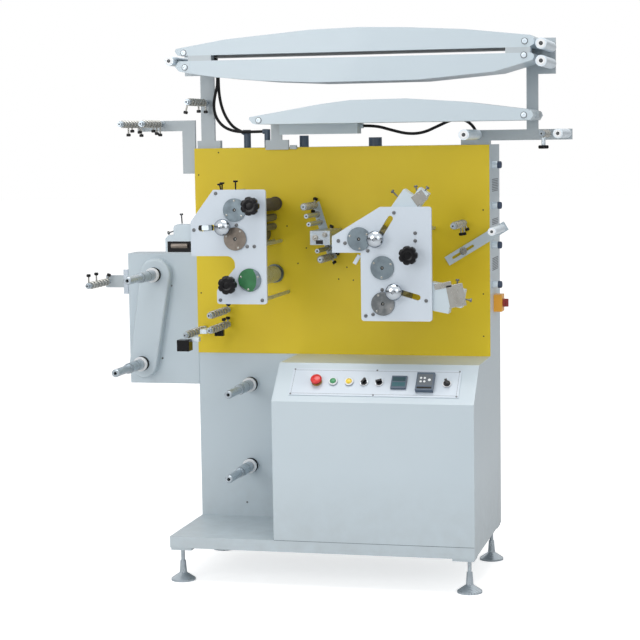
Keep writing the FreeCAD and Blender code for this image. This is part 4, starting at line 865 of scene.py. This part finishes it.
def makeInkScrews(name):
    # each screw runs from its foot up to its head, whatever way it leans; its rims are cut at 45 degrees
    k, row = inkScrews, inkScrews[name]
    shank, edge, head = k["shank"], k["edge"], row["head"]
    parts = []
    for headX, headZ, footX, footZ in row["places"]:
        reach = math.hypot(headX - footX, headZ - footZ)
        low, high = reach - k["length"] / 2, reach + k["length"] / 2
        shape = turned([(0, k["foot"]), (shank, k["foot"]), (shank, low), (head - edge, low),
                        (head, low + edge), (head, high - edge), (head - edge, high), (0, high)], 28)
        parts.append(aimed(shape, spot(footX, row["y"], footZ), (headX - footX, 0, headZ - footZ)))
    finishPiece(name, parts, row["finish"])


makeInkScrews("steelInkScrews")
makeInkScrews("blackInkScrews")


trayRoller = {"place": (18.0, 37.0, 1208.0), "length": 62.0, "radius": 9.0, "edge": 1.5}


def makeTrayRoller():
    # the brown roller that shows in the mouth of the ink tray, a bar with cut rims
    k = trayRoller
    shape = barrel(k["radius"], 0, k["length"], k["edge"], 40)
    finishPiece("trayRoller", [toRight(shape, *k["place"])], "brownSteel")


makeTrayRoller()


smallBlocks = {
    # finish: middle, size, turn about y in degrees
    "whitePaint": (((689.5, 40, 1160.5), (14, 3, 36), 32), ((-285.5, 402, 1051), (19, 8, 92), 0)),
    "blackPlastic": (((23, 150, 842), (46, 46, 41), 0), ((100, 330, 869), (34, 20, 24), 0)),
    "rollerMetal": (((57, 176, 861), (30, 24, 16), 0), ((75, 240, 885), (26, 60, 16), 0)),
    "blackMarkAndShade": (((110, 230, 1867.5), (16, 180, 15), 0), ((520, 189, 1212), (26, 3, 14), 0)),
    "seamDark": (((742.5, 0.1, 171), (713, 0.8, 1.6), 0), ((385, 195, 171.2), (1.2, 386, 1.2), 0)),
    "armPaint": (((1279, 250, 1650), (38, 60, 24), 0), ((381, 380, 1548.5), (26, 12, 15), 0)),
    "collarSteel": (((1036, 36.6, 1038), (58, 1.6, 78), -11), ((990, 36.6, 1072), (60, 1.6, 20), -11),
                    ((912, 36.6, 1371), (46, 1.6, 40), -36)),
}
blockBevel = 1.5


def makeSmallBlocks():
    # brackets, tabs, steel faces and seams: boxes, all but the seams with blunt edges
    for finish, places in smallBlocks.items():
        parts = []
        for middle, size, turn in places:
            points, faces = turnedFlat(block(size), turn, "Y")
            parts.append((points + spot(*middle), faces))
        finishPiece(finish + "Blocks", parts, finish, bevel=0.0 if finish == "seamDark" else blockBevel)


makeSmallBlocks()


nuts = {
    # x, y, z, size across the flats and height of each nut
    "places": ((1005.6, 377, 1168.8, 19.0, 7.0), (505, 190, 1227, 16.0, 5.0), (540, 190, 1238, 13.0, 6.0)),
    "washer": 1.5, "washerShare": 0.72, "washerEdge": 0.4, "stud": 4.0, "studRise": 5.0, "bevel": 0.4,
}


def hexagon(across):
    # six corners at 30, 90, 150 degrees and so on: r = across / 2 / cos 30
    return arc(30, 330, 6) * across / 2 / math.cos(math.pi / 6)


def makeNuts():
    # a washer, a hexagon carried forward and the stud's end in front of it
    k = nuts
    parts = []
    for x, y, z, across, height in k["places"]:
        washer = collar(k["stud"], across * k["washerShare"], k["washer"], k["washerEdge"], 36)
        stud = stub(k["stud"], height + k["studRise"], 20)
        for shape, lift in ((washer, 0), (slab(hexagon(across), height), k["washer"]), (stud, 0)):
            parts.append(toFront(shape, x, y - lift, z))
    finishPiece("armNuts", parts, "collarSteel", bevel=k["bevel"])


makeNuts()
print("guides and small fittings made")


rollerEnds = {
    # x, y and z of the front face, and the radius
    "rollers": {"left_top_roller": (3, 100, 1859, 17), "right_high_roller": (1320, 100, 1887, 19),
                "right_low_roller": (1320, 100, 1829, 19), "bar_left_roller": (1055, 100, 1584, 18),
                "bar_right_roller": (1376, 100, 1584, 16), "arm_roller": (1145.3, 130, 1250.7, 14)},
    "rim": 0.80, "recess": 0.36, "bolt": 0.22, "socket": 0.10,  # shares of the radius
    "rise": 1.2, "edge": 0.5, "recessRise": 0.2, "overlap": 0.2, "boltRise": 1.0, "boltDepth": 0.8,
}


def makeRollerEnds():
    # a pale ring on each roller's front, a dark disc of painted shade in the recess inside it, and a screw
    # in the middle
    k = rollerEnds
    for name, (x, y, z, radius) in k["rollers"].items():
        recess = radius * k["recess"]
        pale = collar(recess, radius * k["rim"], k["rise"], k["edge"], 44)
        hole = dot(recess + k["overlap"], k["recessRise"], 32)
        head = screw(radius * k["bolt"], k["boltRise"], radius * k["socket"], k["boltDepth"], 24)
        for part, shape, finish in (("Ring", pale, "whitePlastic"), ("HoleShade", hole, "blackMarkAndShade"),
                                    ("Bolt", head, "boltSteel")):
            finishPiece(name + part, [toFront(shape, x, y, z)], finish, body=name)


makeRollerEnds()


spindles = {
    # x, y and z of the front end
    "places": {"upper_unwind_spindle": (-155, 49.7, 1082), "lower_unwind_spindle": (-209, 49.7, 748),
               "upper_rewind_spindle": (201, 89.7, 672), "lower_rewind_spindle": (197, 89.7, 366)},
    # bore, radius, rear and front of the dark rings, measured from the front end
    "darkRings": ((22.3, 27.6, -293.0, -290.5), (19.3, 19.8, -214.0, -212.4)),
    # radius, rear and front of the painted shade disc in the bore; the pale ring's own bore, radius, width
    # and edge, and its rear
    "bore": (5.8, -15.6, -15.2), "paleRing": (19.6, 27.0, 12.0, 1.5), "paleRear": -277.0,
}


def makeSpindleRings():
    # a dark ring on the flange, a pale ring before it, a thin dark groove, and a dark disc of painted
    # shade at the bottom of the bore
    k = spindles
    dark = [ring(*sizes, sides=56) for sizes in k["darkRings"]] + [peg(*k["bore"], sides=32)]
    pale = lifted(collar(*k["paleRing"], sides=56), k["paleRear"])
    for name, place in k["places"].items():
        finishPiece(name + "DarkRingsAndBoreShade", [toFront(shape, *place) for shape in dark], "blackMarkAndShade", body=name)
        finishPiece(name + "PaleRing", [toFront(pale, *place)], "whitePlastic", body=name)


makeSpindleRings()
print("roller and spindle ends made")


slope = {"foot": 666.0, "up": np.array((0, math.sqrt(0.5), math.sqrt(0.5))),
         "out": np.array((0, -math.sqrt(0.5), math.sqrt(0.5)))}


def onSlope(shape, x, up, out):
    # a shape on the control slope, its z out of it: the foot, then up along the slope and out from it
    place = spot(x, 0, slope["foot"]) + (slope["up"] * up + slope["out"] * out) * mm
    return aimed(shape, place, slope["out"])


controls = {
    "row": 86.0, "plateTop": 3.0, "bezelTop": 6.0, "knobGap": 0.3,
    # x and the head's outline; each ring is its bore, radius, width and edge
    "stop": (536, ((0, 8.4), (9.6, 8.4), (9.6, 12.2), (15, 12.2), (18.5, 13.4), (20, 15.4), (20, 18),
                   (19, 20.4), (16, 22.6), (11, 24), (5, 24.6), (0, 24.7))),
    "stopRing": (17.05, 18.6, 7.0, 0.5),
    "lamps": {"green_button": (595, "greenPlastic"), "yellow_button": (652, "amberPlastic")},
    "lampRing": (11.3, 15.4, 5.0, 1.2),
    "lens": ((0, 7.8), (9, 7.8), (9, 8.4), (7, 9.4), (3.5, 9.9), (0, 10)),
    # name: body, x, angle in degrees, and the radius, height and grip's width
    "pointers": {"selector_oneKnob": ("selector_one", 705, 62, (11, 15, 7.5)),
                 "selector_twoKnob": ("selector_two", 759, 20, (11, 15, 7.5)),
                 "dialKnob": ("speed_dial", 998, 115, (12, 15, 9))},
    "pointerRing": (12.3, 15.6, 1.0, 0.3), "pointerBevel": 0.8,
    "border": {"left": 450, "right": 1036, "low": 36, "high": 138, "width": 0.9, "rise": 0.3},
    "plateScrew": (3.4, 1.4, 1.6, 0.9),  # radius, rise, socket's radius and depth
    "screws": ((449, 141), (745, 141), (1037, 141), (449, 33), (745, 33), (1037, 33)),
}


def pointerKnob(radius, height, width, foot=5.0, overlap=1.0):
    # a round foot with a grip bar across it
    low = foot - overlap
    grip = block((radius * 2, width, height - low), (0, 0, low + (height - low) / 2))
    return stub(radius, foot, 40), grip


def makeControls():
    # heads, lenses and knobs stand on one row along the slope, their white rings on the bezels
    k = controls
    row, top = k["row"], k["bezelTop"]
    x, profile = k["stop"]
    finishPiece("stopHead", [onSlope(turned(profile, 56), x, row, k["plateTop"])], "redPlastic",
                body="emergency_stop", replaces=("emergency_stop",))
    finishPiece("stopRing", [onSlope(collar(*k["stopRing"], sides=48), x, row, k["plateTop"])], "brass")
    white = []
    for name, (x, finish) in k["lamps"].items():
        white.append(onSlope(collar(*k["lampRing"], sides=48), x, row, top))
        finishPiece(name + "Lens", [onSlope(turned(k["lens"], 40), x, row, top)], finish, body=name)
    for name, (body, x, angle, sizes) in k["pointers"].items():
        white.append(onSlope(collar(*k["pointerRing"], sides=48), x, row, top))
        finishPiece(name, [onSlope(turnedFlat(shape, angle), x, row, top + k["knobGap"])
                           for shape in pointerKnob(*sizes)], "blackPlastic", body=body,
                    replaces=(body,), bevel=k["pointerBevel"])
    finishPiece("whiteBezels", white, "whitePlastic")


def makePlateTrim():
    # four thin bars round the plate, two as long as it is wide and two as long as it is high, and the
    # plate's screws
    k, b = controls, controls["border"]
    wide, high = b["right"] - b["left"], b["high"] - b["low"]
    middle, row = (b["left"] + b["right"]) / 2, (b["low"] + b["high"]) / 2
    bars = [((wide, b["width"]), (middle, b["low"])), ((wide, b["width"]), (middle, b["high"])),
            ((b["width"], high), (b["left"], row)), ((b["width"], high), (b["right"], row))]
    finishPiece("plateBorder", [onSlope(block((*size, b["rise"])), x, up, k["plateTop"])
                                for size, (x, up) in bars], "greyPlastic")
    head = screw(*k["plateScrew"], sides=20)
    finishPiece("plateScrews", [onSlope(head, x, up, k["plateTop"]) for x, up in k["screws"]], "boltSteel")


makeControls()
makePlateTrim()


instruments = {
    # finish: x, up the slope, height over the slope, width, rise, thickness
    "bands": {"screenTeal": (830, 76, 12, 46, 18, 0.8), "screenDark": (830, 98, 12, 46, 18, 0.8),
              "blackMarkAndShade": (923, 58, 19, 52, 8, 0.6), "greyPlastic": (923, 92, 19, 54, 48, 0.8)},
    "bevel": 0.3,
    # x, up the slope, radius
    "keys": ((908, 99, 4.2), (921, 99, 4.2), (908, 84, 4.2), (921, 84, 4.2), (938, 91, 5.2)),
    "keyLevel": 19.3, "keyRise": 0.9,
}


def makeInstruments():
    # the meter's two displays, the controller's face with its dark band, and five round keys
    k = instruments
    for finish, (x, up, out, *size) in k["bands"].items():
        finishPiece(finish + "Bands", [onSlope(block(size), x, up, out)], finish, bevel=k["bevel"])
    finishPiece("controllerKeys", [onSlope(dot(radius, k["keyRise"], 24), x, up, k["keyLevel"])
                                   for x, up, radius in k["keys"]], "whitePlastic")


makeInstruments()
print("control plate made")


sideFittings = {"x": 1100.0, "y": 452.0, "heights": (1475, 1329, 1186, 1043), "radius": 13.0, "body": 20.0,
                "length": 35.0, "crown": 5.0, "sunk": 0.2, "seat": (1.5, 1.0), "groove": (0.6, 1.0)}


def makeSideFittings():
    # a metal body, a shallow groove, then a dark blue end whose rim is a quarter circle:
    # r = R - c + c cos t, h = L - c + c sin t
    k = sideFittings
    radius, length, crown = k["radius"], k["length"], k["crown"]
    (seatIn, seatUp), (grooveIn, grooveUp) = k["seat"], k["groove"]
    body = turned([(0, -k["sunk"]), (radius - seatIn, -k["sunk"]), (radius, seatUp), (radius, k["body"]),
                   (0, k["body"])], 40)
    t = np.linspace(0, math.pi / 2, 7)
    rim = np.column_stack((radius - crown + crown * np.cos(t), length - crown + crown * np.sin(t)))
    end = turned([(0, k["body"]), (radius - grooveIn, k["body"]), (radius, k["body"] + grooveUp), *rim,
                  (0, length)], 40)
    finishPiece("fittingBodies", [toRight(body, k["x"], k["y"], z) for z in k["heights"]], "rollerMetal",
                replaces=("side_fittings",))
    finishPiece("fittingEnds", [toRight(end, k["x"], k["y"], z) for z in k["heights"]], "darkBlue")


makeSideFittings()


louvres = {"x": 1100.0, "y": (450, 590), "bands": ((1380, 1425), (1260, 1279), (1094, 1139)), "step": 6.0,
           "bar": 2.8, "rise": 1.6, "bevel": 0.4}


def makeLouvres():
    # narrow bars, one every step of a band's height
    k = louvres
    front, back = k["y"]
    bar = block((back - front, k["bar"], k["rise"]))
    finishPiece("sideLouvres", [toRight(bar, k["x"], (front + back) / 2, z) for low, high in k["bands"]
                                for z in np.arange(low, high, k["step"])], "greyPlastic", bevel=k["bevel"])


makeLouvres()


mainSwitch = {"place": (1130.3, 505.0, 972.0), "radius": 15.5, "foot": 7.0, "grip": (10.0, 29.0, 12.5),
              "bevel": 1.2}


def makeMainSwitch():
    # a round foot with an upright grip before it
    k = mainSwitch
    foot = stub(k["radius"], k["foot"], 48)
    grip = block(k["grip"], (0, 0, k["foot"] + k["grip"][2] / 2))
    finishPiece("switchHandle", [toRight(shape, *k["place"]) for shape in (foot, grip)], "switchRed",
                body="main_switch_handle", replaces=("main_switch_handle",), bevel=k["bevel"])


makeMainSwitch()


panelHoleShades = {
    "y": 385.0, "hole": (2.8, 0.2),
    "places": ((93.3, 1531.9), (15, 1450.2), (574.1, 1108.9), (542.7, 1065.2), (597.8, 1061.4),
               (1077.2, 1315.2), (1076.2, 1013.6), (1076.3, 860.7), (15, 1011.5), (350.4, 1260.1),
               (422.6, 1179.2), (389.8, 1122.5), (324.1, 1061.0)),
}


def makePanelHoleShades():
    # a low disc of painted shade, the panel's yellow darkened, in each hole of the front panel
    k = panelHoleShades
    finishPiece("panelHoleShades", [toFront(dot(*k["hole"]), x, k["y"], z) for x, z in k["places"]], "paintedHoleShade")


makePanelHoleShades()


panelRollers = {
    # name: x, y and z of the rear, the roller's radius, the band's width, finish, body
    "bands": {"rubberEnd": ((309, 384.4, 1343), 23.4, 16.0, "darkRubber", "rubber_roller"),
              "lowerRing": ((303, 384.6, 1086), 31.0, 13.0, "blackMarkAndShade", "press")},
    "inset": 3.0, "rise": 2.0, "edge": 2.0,
}


def makePanelRollers():
    # a band round each roller's end next to the panel, its rims cut at 45 degrees
    k = panelRollers
    for name, (place, radius, width, finish, body) in k["bands"].items():
        band = collar(radius - k["inset"], radius + k["rise"], width, k["edge"], 56)
        finishPiece(name, [toFront(band, *place)], finish, body=body)


makePanelRollers()
print("sides and panel made")


studio = {
    "floor": 0.86, "floorGlow": 0.60, "floorSide": 40.0, "floorRoughness": 0.9, "floorShine": 0.1,
    "world": 0.60, "mirrorDark": 0.16, "mirrorLight": 1.05, "bandLow": 0.06, "bandHigh": 0.34,
    # place, the point that it looks at, power
    "lights": {"keyLight": ((-2.4, -5.4, 2.6), (0, 0, 0.9), 72.0),
               "fillLight": ((2.8, -4.6, 2.2), (0, 0, 1.0), 21.0),
               "topLight": ((0.2, -1.1, 4.7), (0, -0.2, 0.6), 82.0)},
    "lightSize": 3.0,
}


def makeWorld():
    # white where the camera looks, an even grey for soft light, and a dark room with a bright ceiling
    # in polished metal: level = dark + (light - dark) (z - low) / (high - low), eased at both ends
    world = bpy.data.worlds.new("studioWorld")
    world.use_nodes = True
    scene.world = world
    tree = world.node_tree
    tree.nodes.clear()
    path = tree.nodes.new("ShaderNodeLightPath")
    background = tree.nodes.new("ShaderNodeBackground")
    background.inputs["Color"].default_value = (1, 1, 1, 1)
    seen = mathNode(tree, "MAXIMUM", path.outputs["Is Camera Ray"], path.outputs["Is Transmission Ray"])
    gain = mathNode(tree, "MULTIPLY", seen, 1.0 - studio["world"])
    plain = mathNode(tree, "ADD", gain, studio["world"])
    axes = tree.nodes.new("ShaderNodeSeparateXYZ")
    tree.links.new(tree.nodes.new("ShaderNodeTexCoord").outputs["Generated"], axes.inputs[0])
    ceiling = tree.nodes.new("ShaderNodeMapRange")
    ceiling.interpolation_type = "SMOOTHSTEP"
    for label, value in (("From Min", "bandLow"), ("From Max", "bandHigh"),
                         ("To Min", "mirrorDark"), ("To Max", "mirrorLight")):
        ceiling.inputs[label].default_value = studio[value]
    tree.links.new(axes.outputs["Z"], ceiling.inputs["Value"])
    mirror = mathNode(tree, "MULTIPLY", path.outputs["Is Glossy Ray"],
                      mathNode(tree, "SUBTRACT", ceiling.outputs[0], plain))
    tree.links.new(mathNode(tree, "ADD", plain, mirror), background.inputs["Strength"])
    output = tree.nodes.new("ShaderNodeOutputWorld")
    tree.links.new(background.outputs[0], output.inputs[0])


def makeFloor():
    # a white square that glows a little, to the camera alone
    side = studio["floorSide"]
    mesh = bpy.data.meshes.new("floor")
    mesh.from_pydata([(-side, -side, 0), (side, -side, 0), (side, side, 0), (-side, side, 0)], [],
                     [(0, 1, 2, 3)])
    floor = bpy.data.objects.new("floor", mesh)
    scene.collection.objects.link(floor)
    material = bpy.data.materials.new("floorWhite")
    material.use_nodes = True
    tree = material.node_tree
    shader = tree.nodes["Principled BSDF"]
    shader.inputs["Base Color"].default_value = (studio["floor"],) * 3 + (1,)
    shader.inputs["Roughness"].default_value = studio["floorRoughness"]
    shader.inputs["Specular IOR Level"].default_value = studio["floorShine"]
    shader.inputs["Emission Color"].default_value = (1, 1, 1, 1)
    path = tree.nodes.new("ShaderNodeLightPath")
    glow = mathNode(tree, "MULTIPLY", path.outputs["Is Camera Ray"], studio["floorGlow"])
    tree.links.new(glow, shader.inputs["Emission Strength"])
    mesh.materials.append(material)


def makeLights():
    # round area lights, each turned so that its -z looks at its point
    for name, (place, aim, power) in studio["lights"].items():
        data = bpy.data.lights.new(name, "AREA")
        data.shape = "DISK"
        data.size = studio["lightSize"]
        data.energy = power
        lamp = bpy.data.objects.new(name, data)
        lamp.location = place
        lamp.rotation_euler = (Vector(aim) - Vector(place)).to_track_quat("-Z", "Y").to_euler()
        scene.collection.objects.link(lamp)


makeWorld()
makeFloor()
makeLights()
scene.view_settings.view_transform = "Standard"
print("studio lit")
